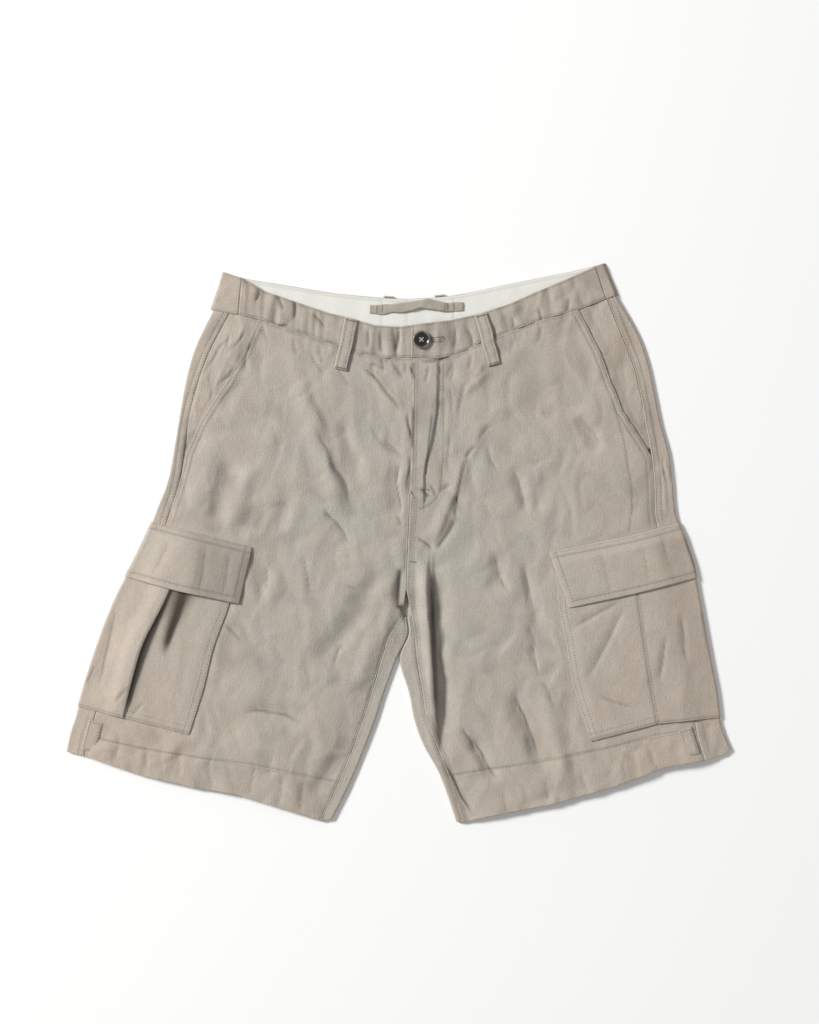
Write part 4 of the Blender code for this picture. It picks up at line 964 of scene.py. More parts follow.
def make_front(side, lap):
    name = "front_" + side
    centre, edge = front_edges(side, lap)
    width = np.linalg.norm(edge - centre, axis=1).mean()
    shares = shares_across(width, FLY_COLUMNS if side == "left" else EDGE_STEPS)
    flat = mix(centre[:, None, :], edge[:, None, :], shares[None, :, None])
    fit_edges(flat, PLACES, [WAIST_SEAM] * len(shares), HEM_LINES[side])
    x, y = xy(flat)
    inner, outer = run(flat, 1), run(flat, 1, back=True)
    waist, low = run(flat, 0), run(flat, 0, back=True)
    walls = np.where(PLACES >= HEMLINE, HEM_SEEN, LEG_WALL)
    hem = int(np.searchsorted(PLACES, HEMLINE))
    to_hem = waist - waist[hem]
    sewn = [furrow(inner, INSEAM_STITCH), furrow(outer, SLASH_STITCHES[1]) * (PLACES < 9)[:, None],
            furrow(outer, SLASH_FURROW), furrow(to_hem, -HEM_STITCH), furrow(waist, WAIST_STITCH)]
    pucker = puckers(x, y, np.minimum(np.minimum(inner, outer), np.minimum(waist, np.abs(to_hem))))
    if side == "left":
        sewn += [furrow(to_line(x, y, J_STITCH), 0), furrow(to_line(x, y, POCKET_BAG_STITCH), 0),
                 furrow(inner, CENTRE_DOUBLE_STITCH) * (y < FLY_TOP)]
        pucker = pucker + puckers(x, y, to_line(x, y, J_STITCH), 25, 0.8)
    sunk_and_painted_shade = np.clip(sum(sewn), 0, 1)
    calm = 1 - COVER_CALM * covered(x, y)
    z = leg_height(x, y) + (walls[:, None] - LEG_WALL) / 2 - FURROW_DEPTH * sunk_and_painted_shade * calm + pucker * calm
    z += rolled(outer) + rolled(low) + rolled(waist) + rolled(inner) * 0.6
    z += hem_ripple(x, y, to_hem)
    if side == "left":
        z += fly_rise(x, y)
    z = np.maximum(z, LOWEST_FRONT - 0.3)
    grid = np.dstack([x, y, z])
    lean = LEGS[side].outward * GRAIN_LEAN
    rubbed = worn(np.minimum(outer, low))
    # Painted shade: along creases, in the narrowest folds, in small wrinkle hollows and in the stitched
    # furrows.
    shade = painted_crease_shade(LEG_CREASES, *wander(x, y)) * (1 - covered(x, y))
    shade += painted_deep_shade(x, y) + HOLLOW_SHADE * hollows(x, y) * calm
    return cloth(name, grid, HEM_WALL, lean, walls=walls, rubbed=rubbed,
                 sunk_and_painted_shade=np.clip(LEG_SEAM_SHADE * sunk_and_painted_shade * calm + shade, 0, DARKEST))


make_front("right", FLY_LAP)
make_front("left", 0.0)

# %% [markdown]
# ## The backs
# A back shows as a strip outside the side seam, turns round the outer fold, lies under the
# front as the sheet that touches the table, and below the crotch turns up again at the
# inner fold. It is one sheet, so it is one grid, with columns for each stretch. The weight
# of the shorts presses it flat, apart from a few shallow hollows off the table.

# %% One back, column by column
TURN_ANGLES = np.radians(np.arange(90, -91, -15))
BOTTOM_COLUMNS = 52
STRIP_COLUMNS = 11
DOUBLE_STITCH = (1.6, 7.2)     # the side seam is felled: two rows of stitches outside it
BACK_INSEAM_STITCH = 2.2
UNDER_GAP = 0.25               # least room between the underside and the front above it
BACK_CREASES = bent(
    Fold, (-60, 190, -95, 90, -150, -40, 0.8, 16, 10), (-190, 150, -150, 60, -130, 0, 0.7, 12, 16),
    (-240, -80, -200, -150, -190, -230, 0.8, 14, 14), (-120, -140, -150, -200, -160, -270, 0.7, 12, 12),
    (70, 180, 100, 100, 130, 20, 0.8, 12, 16), (200, 180, 180, 80, 200, -20, 0.7, 14, 14),
    (110, -60, 150, -140, 160, -240, 0.8, 12, 18), (260, -60, 250, -130, 270, -200, 0.7, 14, 12),
    (-30, 120, -20, 20, -60, -60, 0.6, 10, 12), (40, 90, 60, 10, 90, -60, 0.6, 12, 10),
)


def turned(edge, inward, radius, middle, angles):
    """Grid of points round a fold, a column for each angle."""
    out = radius[:, None] * (1 - np.cos(angles))
    places = edge[:, None, :] + inward[:, None, :] * out[..., None]
    heights = middle[:, None] + radius[:, None] * np.sin(angles)
    return np.dstack([places, heights])


def stretch(start, end, shares):
    """Straight stretch of columns between two edges."""
    return mix(start[:, None, :], end[:, None, :], shares[None, :, None])


def under_height(x, y):
    """How far the underside stands off the table."""
    lift = folds_height(BACK_CREASES, x, y) + 0.25 + 0.3 * hills(x, y, 44, 41)
    return np.maximum(lift, 0) * smooth((turn_distance(x, y) - 6) / 22)


def back_grid(side):
    leg = LEGS[side]
    walls = np.where(PLACES >= HEMLINE, HEM_SEEN, LEG_WALL)
    lift = (walls - LEG_WALL) / 2
    seam = leg.side.copy()
    seam[:, 0] += leg.outward * SEAM_GAP / 2
    inward = unit(leg.turn - leg.fold)
    radius = (edge_height(leg.fold[:, 0], leg.fold[:, 1]) - LEG_WALL / 2) / 2
    outer = turned(leg.fold, inward, radius, walls / 2 + radius, TURN_ANGLES)
    strip = stretch(seam, outer[:, 0, :2], np.linspace(0, 1, STRIP_COLUMNS))[:, :-1]
    strip_z = leg_height(*xy(strip)) + lift[:, None]
    shares = np.linspace(0, 1, BOTTOM_COLUMNS)[1:]
    above = PLACES < CROTCH
    seat = leg.turn.copy()
    seat[:, 0] += leg.outward * SEAM_GAP / 2
    small = np.full(len(PLACES), FOLD_RADIUS)
    inner = turned(leg.turn, -inward, small, walls / 2 + small, TURN_ANGLES[::-1])
    bottom_end = np.where(above[:, None], seat, inner[:, 0, :2])
    bottom = stretch(outer[:, -1, :2], bottom_end, shares)
    bottom_z = walls[:, None] / 2 + under_height(*xy(bottom))
    bottom_z = np.minimum(bottom_z, leg_height(*xy(bottom)) - LEG_WALL - UNDER_GAP)
    end = leg.centre.copy()
    end[:, 0] -= leg.outward * SEAM_GAP / 2
    inseam = stretch(inner[:, -1, :2], end, np.linspace(0, 1, STRIP_COLUMNS))[:, 1:]
    inseam_z = leg_height(*xy(inseam)) + lift[:, None]
    grid = np.concatenate([np.dstack([strip, strip_z]), outer, np.dstack([bottom, bottom_z]),
                           inner[:, 1:], np.dstack([inseam, inseam_z])], axis=1)
    counts = (strip.shape[1], outer.shape[1], bottom.shape[1], inner.shape[1] - 1, inseam.shape[1])
    grid[above, sum(counts[:3]):] = np.nan
    return grid, counts, walls


print(back_grid("left")[1], "columns in each stretch of a back")

# %% Both backs
def make_back(side):
    grid, counts, walls = back_grid(side)
    on_top = counts[0] + counts[1] // 2 + 1
    lines = [WAIST_SEAM] * on_top + [BACK_SEAM] * (grid.shape[1] - on_top)
    fit_edges(grid, PLACES, lines, HEM_LINES[side])
    x, y = xy(grid)
    across, low = run(grid, 1), run(grid, 0, back=True)
    seam_side = (np.arange(grid.shape[1]) < counts[0])[None, :]
    seam_inner = (np.arange(grid.shape[1]) >= grid.shape[1] - counts[4])[None, :]
    to_end = np.nanmax(across, axis=1, keepdims=True) - across
    sewn = (sum(furrow(across, at) for at in DOUBLE_STITCH) * seam_side
            + furrow(to_end, BACK_INSEAM_STITCH) * seam_inner * (PLACES > CROTCH)[:, None])
    calm = 1 - COVER_CALM * covered(x, y)
    shift = -FURROW_DEPTH * sewn + rolled(across) * seam_side
    shift += rolled(to_end) * seam_inner + puckers(x, y, across) * seam_side
    grid[..., 2] += shift * calm
    rubbed = worn(np.minimum(across, low)) * seam_side
    # Painted shade: in the stitched furrows, and in the narrowest folds on the side and inseam strips.
    shade = LEG_SEAM_SHADE * sewn * calm + painted_deep_shade(x, y) * (seam_inner | seam_side)
    return cloth("back_" + side, grid, HEM_WALL, LEGS[side].outward * GRAIN_LEAN,
                 walls=walls, rubbed=rubbed, sunk_and_painted_shade=np.clip(shade, 0, DARKEST))


make_back("right")
make_back("left")

# %% [markdown]
# ## Slash pocket facings
# Inside each slash opening shows a sliver of the pocket facing, a layer deeper than the
# front and sewn to the side seam. It runs on under the front for a few millimetres.

# %% Both facings
FACING_UNDERLAP = 9.0
FACING_COLUMNS = 32
FACING_TUCK = 5.0          # at the foot of the slash the facing runs on under the back
FACING_WALL = 0.8
FACING_DROP = LEG_WALL / 2 + LAYER_GAP + FACING_WALL / 2
FACING_SLOPE = (0, 0.35, 0.75, 1), (0, 0.5, 1, 1)     # share of the drop across the opening


def make_pocket_facing(side):
    leg = LEGS[side]
    rows = PLACES <= FLY_END + 0.7
    centre, edge = (line[rows] for line in front_edges(side, 0.0))
    start = leg.side[rows].copy()
    down = np.interp(PLACES[rows], (0, 3.2, 3.8), (0, 0.1, 1))
    start[:, 0] += leg.outward * (FACING_TUCK * smooth((down - 0.4) / 0.4) - SEAM_GAP / 2)
    under = edge + unit(centre - edge) * FACING_UNDERLAP
    shown = stretch(start, edge, np.linspace(0, 1, FACING_COLUMNS))
    flat = np.concatenate([shown, stretch(edge, under, np.array([0.35, 0.7, 1.0]))], axis=1)
    fit_edges(flat, PLACES[rows], [WAIST_SEAM] * flat.shape[1], HEM_LINES[side])
    x, y = xy(flat)
    across = np.append(np.interp(np.linspace(0, 1, FACING_COLUMNS), *FACING_SLOPE), np.ones(3))
    drop = np.maximum(across[None, :], down[:, None])
    z = leg_height(x, y) - FACING_DROP * drop + 0.25 * puckers(x, y, run(flat, 1))
    z += 0.55 * crumple(x, y * 0.7, 14, 19) * np.minimum(drop, 0.6)
    grid = np.dstack([x, y, z])
    # Painted shade: along creases, and a little more where the facing lies a full layer down under the
    # front's edge.
    return cloth("pocket_facing_" + side, grid, FACING_WALL, leg.outward * GRAIN_LEAN,
                 sunk_and_painted_shade=np.clip(painted_crease_shade(LEG_CREASES, x, y) + 0.15 * (drop > 0.9), 0, 0.8))


make_pocket_facing("right")
make_pocket_facing("left")

# %% [markdown]
# ## The waistband
# The band is two layers of linen with a facing inside, gathered a little by its seams, so
# it shows short upright ridges between hollows. The left end laps over the right one, and
# carries the buttonhole; the button is sewn to the right end underneath.

# %% Columns of the front waistband
Rib = namedtuple("Rib", "bottom top")
BAND_RIBS = (
    Rib(-176.5, -172.8), Rib(-140, -140), Rib(-108, -106), Rib(-75, -73), Rib(-42, -42), Rib(14, 14),
    Rib(45, 41), Rib(75, 71), Rib(108, 100), Rib(147, 140), Rib(184, 179), Rib(219, 208),
    Rib(228.7, 217),
)
BAND_END, BAND_LAP_END, LAP_FALL, BAND_LAP_RISE = 13.8, 40.0, 20.0, 2.4
BAND_ENDS = {"right": (BAND_RIBS[0].bottom, BAND_LAP_END), "left": (BAND_END, BAND_RIBS[-1].bottom)}
BAND_GAP = 1.7
BAND_STEPS = np.concatenate([[0, 0.02, 0.045, 0.075], np.linspace(0.11, 0.89, 14), [0.925, 0.955, 0.98, 1]])
# X on the waist seam, height, reach on each side, and lean towards the top
Gather = namedtuple("Gather", "x height reach lean")
BAND_GATHERS = tuple(Gather(*row) for row in (
    (-168, -0.7, 4, 2), (-160, 0.5, 5, 1), (-150, -0.8, 5, 1), (-136, -0.9, 5, 2), (-125, 0.5, 6, 0),
    (-115, -0.7, 4, 1), (-101, -0.8, 5, 1), (-93, -0.8, 4, 1), (-84, -0.7, 5, 0), (-40, -0.6, 6, 0),
    (-26, -0.8, 5, 2), (-12, 0.8, 5, -3), (-4, -1.7, 4, -5), (4, 0.8, 4, -3), (48, -0.4, 4, 0),
    (61, -0.8, 5, -1), (70, 0.4, 5, -1), (79, -0.5, 5, -2), (106, -0.5, 6, -3), (121, -0.6, 6, -3),
    (139, -0.6, 7, -4), (158, 0.4, 7, -3), (168, -0.6, 6, -4), (185, -0.5, 6, -4), (201, -0.7, 6, -5),
    (213, 0.4, 5, -5),
))

BAND_CREASES = bent(
    Fold, (-154, 283, -152, 272, -159, 266, -0.9, 3, 5), (-134, 277, -130, 264, -125, 256, -1.0, 3, 5),
    (-116, 273, -111, 257, -116, 246, -1.0, 4, 4), (-96, 254, -86, 246, -80, 236, -0.9, 3, 5),
    (-119, 242, -130, 238, -146, 242, -0.9, 3, 3), (-35, 237, -31, 226, -35, 213, -0.8, 4, 4),
    (-20, 237, -21, 220, -17, 207, -0.8, 3, 4), (-1, 241, 2.5, 224, -4, 210, -1.4, 3, 4),
    (62, 241, 64, 227, 61, 213, -0.8, 3, 4), (73, 239, 86, 224, 79, 215, -0.9, 3, 5),
    (123, 250, 130, 242, 124, 235, -0.8, 3, 4), (152, 261, 159, 251, 156, 244, -0.8, 3, 4),
    (186, 272, 190, 262, 184, 254, -0.7, 3, 4),
)


def band_flat(start, end):
    bottoms = np.linspace(start, end, math.ceil((end - start) / BAND_GAP))
    tops = line_at(BAND_RIBS, bottoms)
    low = np.stack([bottoms, line_at(WAIST_SEAM, bottoms) + SEAM_GAP / 2], axis=1)
    high = np.stack([tops, line_at(BAND_TOP, tops)], axis=1)
    return stretch(low, high, BAND_STEPS)


def gathers(flat):
    share = np.linspace(0, 1, flat.shape[1])[None, :]
    foot = flat[:, :1, 0]
    total = np.zeros(flat.shape[:2])
    for gather in BAND_GATHERS:
        middle = gather.x + gather.lean * (share - 0.5)
        strength = smooth(share * 5) * smooth((1 - share) * 4)
        total += gather.height * strength * smooth(1 - np.abs(foot - middle) / gather.reach)
    return total


print(len(BAND_GATHERS), "gathers along the front band")

# %% Right and left waistband
BAND_STITCH, BAND_END_STITCH = 1.9, 2.2
BAND_RUMPLE, BAND_CREASE_GAIN = 0.9, 2.2


def band_rumple(x, y):
    return crumple(x, y * 0.5, 13, 17)


def band_under(x, y):
    """Middle of the band's cloth as the plain solid has it."""
    return calm_height(x, y) + folds_height(LARGE_FOLDS, x, y)


def weave_along(flat):
    """Grain that follows the length of a band."""
    length = run(flat, 0)[:, :1] + np.zeros(flat.shape[1])
    return np.dstack([run(flat, 1), length])


def make_front_band(side, lap_rise, end_edge):
    flat = band_flat(*BAND_ENDS[side])
    x, y = xy(flat)
    low, high = run(flat, 1), run(flat, 1, back=True)
    ends = run(flat, 0, back=end_edge == "last")
    sides = from_sides(flat, 0)
    sewn = furrow(low, BAND_STITCH) + furrow(high, BAND_STITCH) + furrow(ends, BAND_END_STITCH)
    sewn = np.clip(sewn, 0, 1)
    z = band_under(x, y)
    z += lap_rise * smooth((BAND_LAP_END + LAP_FALL + 4 - x) / LAP_FALL)
    loose = smooth(run(flat, 0, back=end_edge == "first") / 9)
    z += loose * (gathers(flat) + BAND_RUMPLE * band_rumple(x, y) + 0.3 * hills(x, y, 13, 51)
                  + BAND_CREASE_GAIN * folds_height(BAND_CREASES, x, y, crisp=True))
    z += puckers(x, y, np.minimum(low, high), 53)
    z += rolled(low) + 1.3 * rolled(high) + 0.2 * rolled(sides) - FURROW_DEPTH * sewn
    # Painted shade: in the stitched furrows, in the hollows between gathers and of small wrinkles, and
    # along creases.
    shade = (BAND_SEAM_SHADE * sewn + 0.25 * np.clip(-gathers(flat), 0, 2)
             + 0.3 * np.clip(-band_rumple(x, y), 0, 1) + 1.4 * painted_crease_shade(BAND_CREASES, x, y))
    return cloth("waistband_" + side, np.dstack([x, y, z]), BAND_WALL - 0.1, weave=weave_along(flat),
                 rubbed=worn(np.minimum(high, sides), 0.3), sunk_and_painted_shade=np.clip(shade, 0, 0.7))


make_front_band("right", 0.0, "last")
make_front_band("left", BAND_LAP_RISE, "first")

# %% [markdown]
# The back of the waistband starts beside each side seam, turns round the side fold and
# lies on the table inside the front band. Its coarse columns are worked out as for the
# solid, and then a smooth curve through them fills in the points between.

# %% Filling in a coarse grid
BAND_SHARES = np.linspace(0, 1, 5)[:, None]
BAND_ANGLES = np.radians((90, 45, 0, -45, -90))
BACK_BAND_LEAN = ((-204, -192), (-100, -97), (2, 2), (118, 115), (239, 225))
RIGHT_BAND_FOLD = ((-204, 257), (-192, 298.7))
LEFT_BAND_FOLD = ((239, 273), (225, 308.6))


def refine(coarse, rows, columns):
    """Smooth grid through a coarse one, with this many steps in each of its spans."""
    grid = np.asarray(coarse, float)
    for steps in (rows, columns):
        places = np.linspace(0, len(grid) - 1, (len(grid) - 1) * steps + 1)
        grid = through(grid, places).reshape(len(places), grid.shape[1], 3).transpose(1, 0, 2)
    return grid


def band_turn(fold_line, seam_line):
    """Columns round one side fold, from the top of the turn to the underside."""
    fold_line = np.array(fold_line)
    edge = mix(*fold_line, BAND_SHARES)
    radius = np.full(len(edge), (FOLD_CENTRE + FOLD_RADIUS + WAIST_RISE - BAND_WALL / 2) / 2)
    inward = np.broadcast_to(unit(seam_line[0, :2] - fold_line[0]), edge.shape)
    return list(turned(edge, inward, radius, BAND_WALL / 2 + radius, BAND_ANGLES).transpose(1, 0, 2))


def band_seam(rib, gap):
    low = np.array((rib.bottom + gap, line_at(WAIST_SEAM, rib.bottom)))
    high = np.array((rib.top + gap, line_at(BAND_TOP, rib.top)))
    places = mix(low, high, BAND_SHARES)
    return np.column_stack([places, calm_height(*places.T)])


# %% The back waistband
def make_back_band():
    right, left = band_seam(BAND_RIBS[0], -SEAM_GAP / 2), band_seam(BAND_RIBS[-1], SEAM_GAP / 2)
    columns = [right] + band_turn(RIGHT_BAND_FOLD, right)
    bottoms = np.array([x for x, _ in BACK_SEAM])
    halves = (bottoms[1:] + bottoms[:-1]) / 2
    for bottom in np.sort(np.concatenate([bottoms[1:-1], halves])):
        top = line_at(BACK_BAND_LEAN, bottom)
        ends = np.array(((bottom, line_at(BACK_SEAM, bottom), BAND_WALL / 2),
                         (top, line_at(BACK_TOP, top), BAND_WALL / 2)))
        columns.append(mix(*ends, BAND_SHARES))
    columns += band_turn(LEFT_BAND_FOLD, left)[::-1] + [left]
    grid = refine(columns, 8, 5)
    grid[..., 1] += SEAM_GAP / 2
    low, high = run(grid, 1), run(grid, 1, back=True)
    sewn = np.clip(furrow(low, BAND_STITCH) + furrow(high, BAND_STITCH), 0, 1)
    on_top = smooth((grid[..., 2] - 2.2) / 1.2)
    x, y = xy(grid)
    soft = 0.3 * hills(x, y, 9, 55) + 0.7 * crumple(x, y * 0.5, 12, 57)
    soft *= smooth(from_sides(grid, 0) / 8)
    grid[..., 2] += on_top * (soft + rolled(low) + rolled(high) - FURROW_DEPTH * sewn)
    # Painted shade in the stitched furrows.
    return cloth("waistband_back", grid, BAND_WALL - 0.1, weave=weave_along(grid),
                 rubbed=worn(high, 0.3), sunk_and_painted_shade=BAND_SEAM_SHADE * sewn)


make_back_band()

# %% [markdown]
# Inside the back waistband lies the cotton facing. It shows as the pale crescent behind
# the front, with three upright stitch lines and soft ripples along its top.

# %% Cotton facing
FACING_INSET, FACING_HEIGHT = 0.6, 38.0
FACING_ENDS = (-184.0, 217.0)
FACING_SEAMS, FACING_STITCH = (-19.3, 8.3, 60.0), 2.4


def make_facing():
    x, down = np.meshgrid(np.linspace(*FACING_ENDS, 190),
                          np.linspace(0, FACING_HEIGHT, 24), indexing="ij")
    y = line_at(BACK_TOP, x) - FACING_INSET - down
    sewn = np.clip(furrow(down, FACING_STITCH) + sum(furrow(x, at) for at in FACING_SEAMS), 0, 1)
    z = BAND_WALL + SEAM_GAP + FACING_WALL / 2 + 0.25
    z = z + 0.22 * hills(x, y * 0.5, 12, 61) + 0.18 * hills(x, y, 24, 62)
    z += 0.6 * rolled(down) - 0.2 * sewn
    # Painted shade along the stitch lines.
    return cloth("waistband_facing", np.dstack([x, y, z]), FACING_WALL, weave=np.dstack([down, x]),
                 sunk_and_painted_shade=0.35 * sewn, material=FACING, slot="facing")


make_facing()

# %% [markdown]
# ## Cargo pockets
# The right pocket has an open knife pleat: the cloth runs under, folds back, and folds
# again at an edge that stands up from the leg over a gap, an S of three layers; shade is
# painted into the cloth in that gap. The left pocket's pleat is stitched shut and leaves a
# groove. Both wrap round the outer fold.

# %% What the pockets share
POCKET_PUFF = 1.0
POCKET_CREASE_GAIN = 1.8
POCKET_LIFT = LEG_WALL / 2 + LAYER_GAP + POCKET_WALL / 2 + 0.1
FLAP_LIFT = POCKET_LIFT + POCKET_WALL / 2 + LAYER_GAP + FLAP_WALL / 2
POCKET_FLOOR = LEG_WALL / 2 + POCKET_WALL / 2 + 0.1
PLEAT_DEPTH, PLEAT_PITCH, PLEAT_SETTLE = 8.0, 1.15, 16.0
PLEAT_GROOVE, PLEAT_GROOVE_REACH = 0.7, 4.0
MOUTH_TOP, MOUTH_END = 0.22, 0.6      # shares of the pocket's height between which it sinks
MOUTH_START, MOUTH_HALF = 17.0, 11.0
POCKET_STITCHES, POCKET_FOOT_STITCHES = (1.9, 7.5), (2.2, 8.5)
MOUTH_MOVE, MOUTH_NARROWING, MOUTH_DEPTH, MOUTH_SHADE = 12, 0.8, 0.5, 1.1
PLEAT_HOLLOW = 0.7         # the inner layer sags away from the open edge by this much
PLEAT_SHADE_REACH = 7
FREE_FROM_EDGE, FREE_FROM_FOLD = 5, 6     # the cloth is free past a fifth and a sixth of its width
WRAP_DEGREES = (90, 75, 60, 45, 30, 15, 0)
POCKET_WRAP_END, FLAP_WRAP_END = -35, -14
POCKET_ROWS = 100


def wrapped(side, outer_y, towards, lift, last_angle):
    """Columns round the leg's outer fold at these Ys, over the leg by the given lift."""
    fold = LEGS[side].fold[::-1]
    edge = np.column_stack([np.interp(outer_y, fold[:, 1], fold[:, 0]), outer_y])
    inward = unit(towards - edge)
    lift = np.broadcast_to(lift, outer_y.shape)
    edge = edge - inward * lift[:, None]
    angles = np.radians(WRAP_DEGREES + tuple(range(-15, last_angle, -15)) + (last_angle,))
    return turned(edge, inward, FOLD_RADIUS + lift, np.full(len(outer_y), FOLD_CENTRE), angles)


def pocket_lines(side):
    table = POCKET_TABLES[side]
    places = np.linspace(0, len(table) - 1, POCKET_ROWS)
    inner, pleat, outer, lift = (through(column, places) for column in list(zip(*table))[1:])
    return inner, pleat, outer, lift[:, 0], places / (len(table) - 1)


def pocket_surface(x, y, puff, creases, hold):
    """Middle of a pocket's cloth; hold is 0 on its sewn edges and 1 where it is free."""
    moved = POCKET_CREASE_GAIN * folds_height(creases, x, y, crisp=True) + 0.5 * rumple(x + 40, y)
    height = calm_height(x, y) + POCKET_LIFT + puff + hold * moved
    return np.maximum(height, calm_height(x, y) + POCKET_FLOOR + 0.15 * hold)


def sewn_edge(flat, edge, seed):
    """What the seam along a pocket's inner edge adds to its height."""
    off = run(flat, 1)
    return (0.7 * rolled(off) - 0.15 * furrow(off, POCKET_STITCHES[0])
            + 0.5 * puckers(*xy(flat), off, seed) * edge)


def under_flap(side, x, y):
    """0 under the flap, where the pocket lies flat, and 1 below it."""
    flap = FLAPS[side]
    low = line_at(sorted([flap.inner_low, flap.ridge_low, flap.outer_low]), x)
    return smooth((low - y) / 14)


def finish_pocket(side, parts, creases, shade, settled=1.0, darkest=1.0):
    """Sets the parts of a pocket side by side and rounds and furrows its lower edge."""
    grid = np.concatenate(parts, axis=1)
    low = run(grid, 0, back=True)
    sewn = furrow(low, POCKET_FOOT_STITCHES[0])
    grid[..., 2] += (rolled(low) - 0.2 * sewn) * settled
    # Painted shade: in the stitched furrow at the foot and along creases, added to the shade that each
    # pocket passes in.
    lines = painted_crease_shade(creases, *xy(grid))
    return cloth("cargo_pocket_" + side, grid, POCKET_WALL, LEGS[side].outward * POCKET_LEAN,
                 rubbed=worn(np.minimum(run(grid, 1), low)),
                 sunk_and_painted_shade=np.clip(SEAM_SHADE * sewn + shade + lines, 0, darkest))


print(POCKET_ROWS, "rows on each pocket")

# %% Right pocket, with its open pleat
def arc(start, heights, along):
    """Half turn of the cloth at an edge of the pleat."""
    angles = np.radians(np.arange(-60, 91, 30))
    half = PLEAT_PITCH / 2
    out = half * np.cos(angles)
    places = start[:, None, :] + along[:, None, :] * out[None, :, None]
    return np.dstack([places, heights[:, None] + half + half * np.sin(angles)])


def make_pleated_pocket(side, creases):
    inner, pleat, outer, lift, share = pocket_lines(side)
    along = unit(pleat - inner)
    puff = (POCKET_PUFF * np.sin(math.pi * share))[:, None]
    deep = pleat + along * PLEAT_DEPTH
    steps = np.append((0, 0.012, 0.025, 0.04), np.linspace(0.06, 1, 38))
    under = stretch(inner, deep, steps)
    x, y = xy(under)
    edge = smooth(steps * FREE_FROM_EDGE)[None, :]
    settle = smooth((1 - steps) * FREE_FROM_FOLD)[None, :] * under_flap(side, x, y)
    opened = smooth(lift / 2)[:, None]
    low_z = pocket_surface(x, y, puff * edge, creases, edge * settle) + sewn_edge(under, edge, 71)
    low_z -= PLEAT_HOLLOW * smooth((steps - 0.55) / 0.35)[None, :] * opened
    gap = np.linalg.norm(under - pleat[:, None, :], axis=2)
    down = np.clip((share - MOUTH_TOP) / (MOUTH_END - MOUTH_TOP), 0, 1)[:, None]
    half = MOUTH_HALF * (1 - MOUTH_NARROWING * down)
    mouth = np.exp(-((gap - MOUTH_START - MOUTH_MOVE * down) / half) ** 2) * smooth((1 - down) * 3)
    low_z -= MOUTH_DEPTH * mouth * edge * settle
    base = low_z[:, -1]
    first_turn = arc(deep, base, along)
    back_steps = np.linspace(0, 1, 7)[1:]
    back = stretch(deep, pleat, back_steps)
    back_z = (base + PLEAT_PITCH)[:, None] + lift[:, None] * back_steps ** 1.4
    nose = arc(pleat, base + PLEAT_PITCH + lift, -along)
    turn = wrapped(side, outer[:, 1], pleat, POCKET_LIFT, POCKET_WRAP_END)
    reach = np.linalg.norm(turn[:, 0, :2] - pleat, axis=1)[:, None]
    over_steps = np.linspace(0, 1, 36)[1:-1]
    over = stretch(pleat, turn[:, 0, :2], over_steps)
    x, y = xy(over)
    stacked = 2 * PLEAT_PITCH * smooth(1 - (over_steps * reach - PLEAT_DEPTH) / PLEAT_SETTLE)
    hold = smooth(over_steps * FREE_FROM_EDGE) * smooth((1 - over_steps) * FREE_FROM_FOLD)
    hold = hold * under_flap(side, x, y)
    over_z = pocket_surface(x, y, puff * smooth((1 - over_steps) * 2), creases, hold)
    over_z += stacked + lift[:, None] * smooth(1 - over_steps * reach / (2 * PLEAT_SETTLE))
    parts = (np.dstack([under, low_z]), first_turn, np.dstack([back, back_z]), nose,
             np.dstack([over, over_z]), turn)
    columns = sum(part.shape[1] for part in parts)
    inside = under.shape[1]
    settled = np.ones(columns)
    settled[inside:-turn.shape[1]] = 0.6
    # Painted shade: on the inner layer near the open edge, in the sunken mouth below the flap, and over all
    # the hidden layers of the pleat's gap.
    shade = np.zeros((POCKET_ROWS, columns))
    shade[:, :inside] = np.exp(-(gap / PLEAT_SHADE_REACH) ** 2) * opened + MOUTH_SHADE * mouth
    shade[:, inside:inside + first_turn.shape[1] + len(back_steps)] = opened
    return finish_pocket(side, parts, creases, DARKEST * shade, settled)


make_pleated_pocket("right", RIGHT_POCKET_CREASES)

# %% Left pocket, with its pleat stitched shut
def make_flat_pocket(side, creases):
    inner, pleat, outer, _, share = pocket_lines(side)
    puff = (POCKET_PUFF * np.sin(math.pi * share))[:, None]
    steps = np.concatenate([[0, 0.01, 0.022, 0.035, 0.05], np.linspace(0.075, 0.9, 32),
                            np.linspace(0.92, 1, 6)])
    near = stretch(inner, pleat, steps)
    x, y = xy(near)
    edge = smooth(steps * FREE_FROM_EDGE)[None, :]
    groove = PLEAT_GROOVE * smooth(1 - run(near, 1, back=True) / PLEAT_GROOVE_REACH) * edge
    hold = edge * under_flap(side, x, y)
    near_z = pocket_surface(x, y, puff * edge - groove + PLEAT_GROOVE * edge, creases, hold)
    near_z += sewn_edge(near, edge, 73)
    turn = wrapped(side, outer[:, 1], pleat, POCKET_LIFT, POCKET_WRAP_END)
    over_steps = np.append((0.015, 0.04, 0.07), np.linspace(0.1, 0.97, 26))
    over = stretch(pleat, turn[:, 0, :2], over_steps)
    x, y = xy(over)
    fade = smooth((1 - over_steps) * 2)
    hold = smooth((1 - over_steps) * FREE_FROM_FOLD) * under_flap(side, x, y)
    over_z = pocket_surface(x, y, (puff + PLEAT_GROOVE) * fade, creases, hold)
    parts = (np.dstack([near, near_z]), np.dstack([over, over_z]), turn)
    # Painted shade in the groove of the shut pleat.
    seam = np.abs(np.arange(sum(part.shape[1] for part in parts)) - len(steps) + 1) < 2
    return finish_pocket(side, parts, creases, 0.3 * seam, darkest=0.8)


make_flat_pocket("left", LEFT_POCKET_CREASES)

# %% [markdown]
# ## Pocket flaps
# A flap is sewn along its top and lies free over the pocket, lifted a little along the
# lower edge. The right one rides over the open pleat, so a ridge crosses it. Both carry a
# row of stitches about 7 mm inside the free edges.

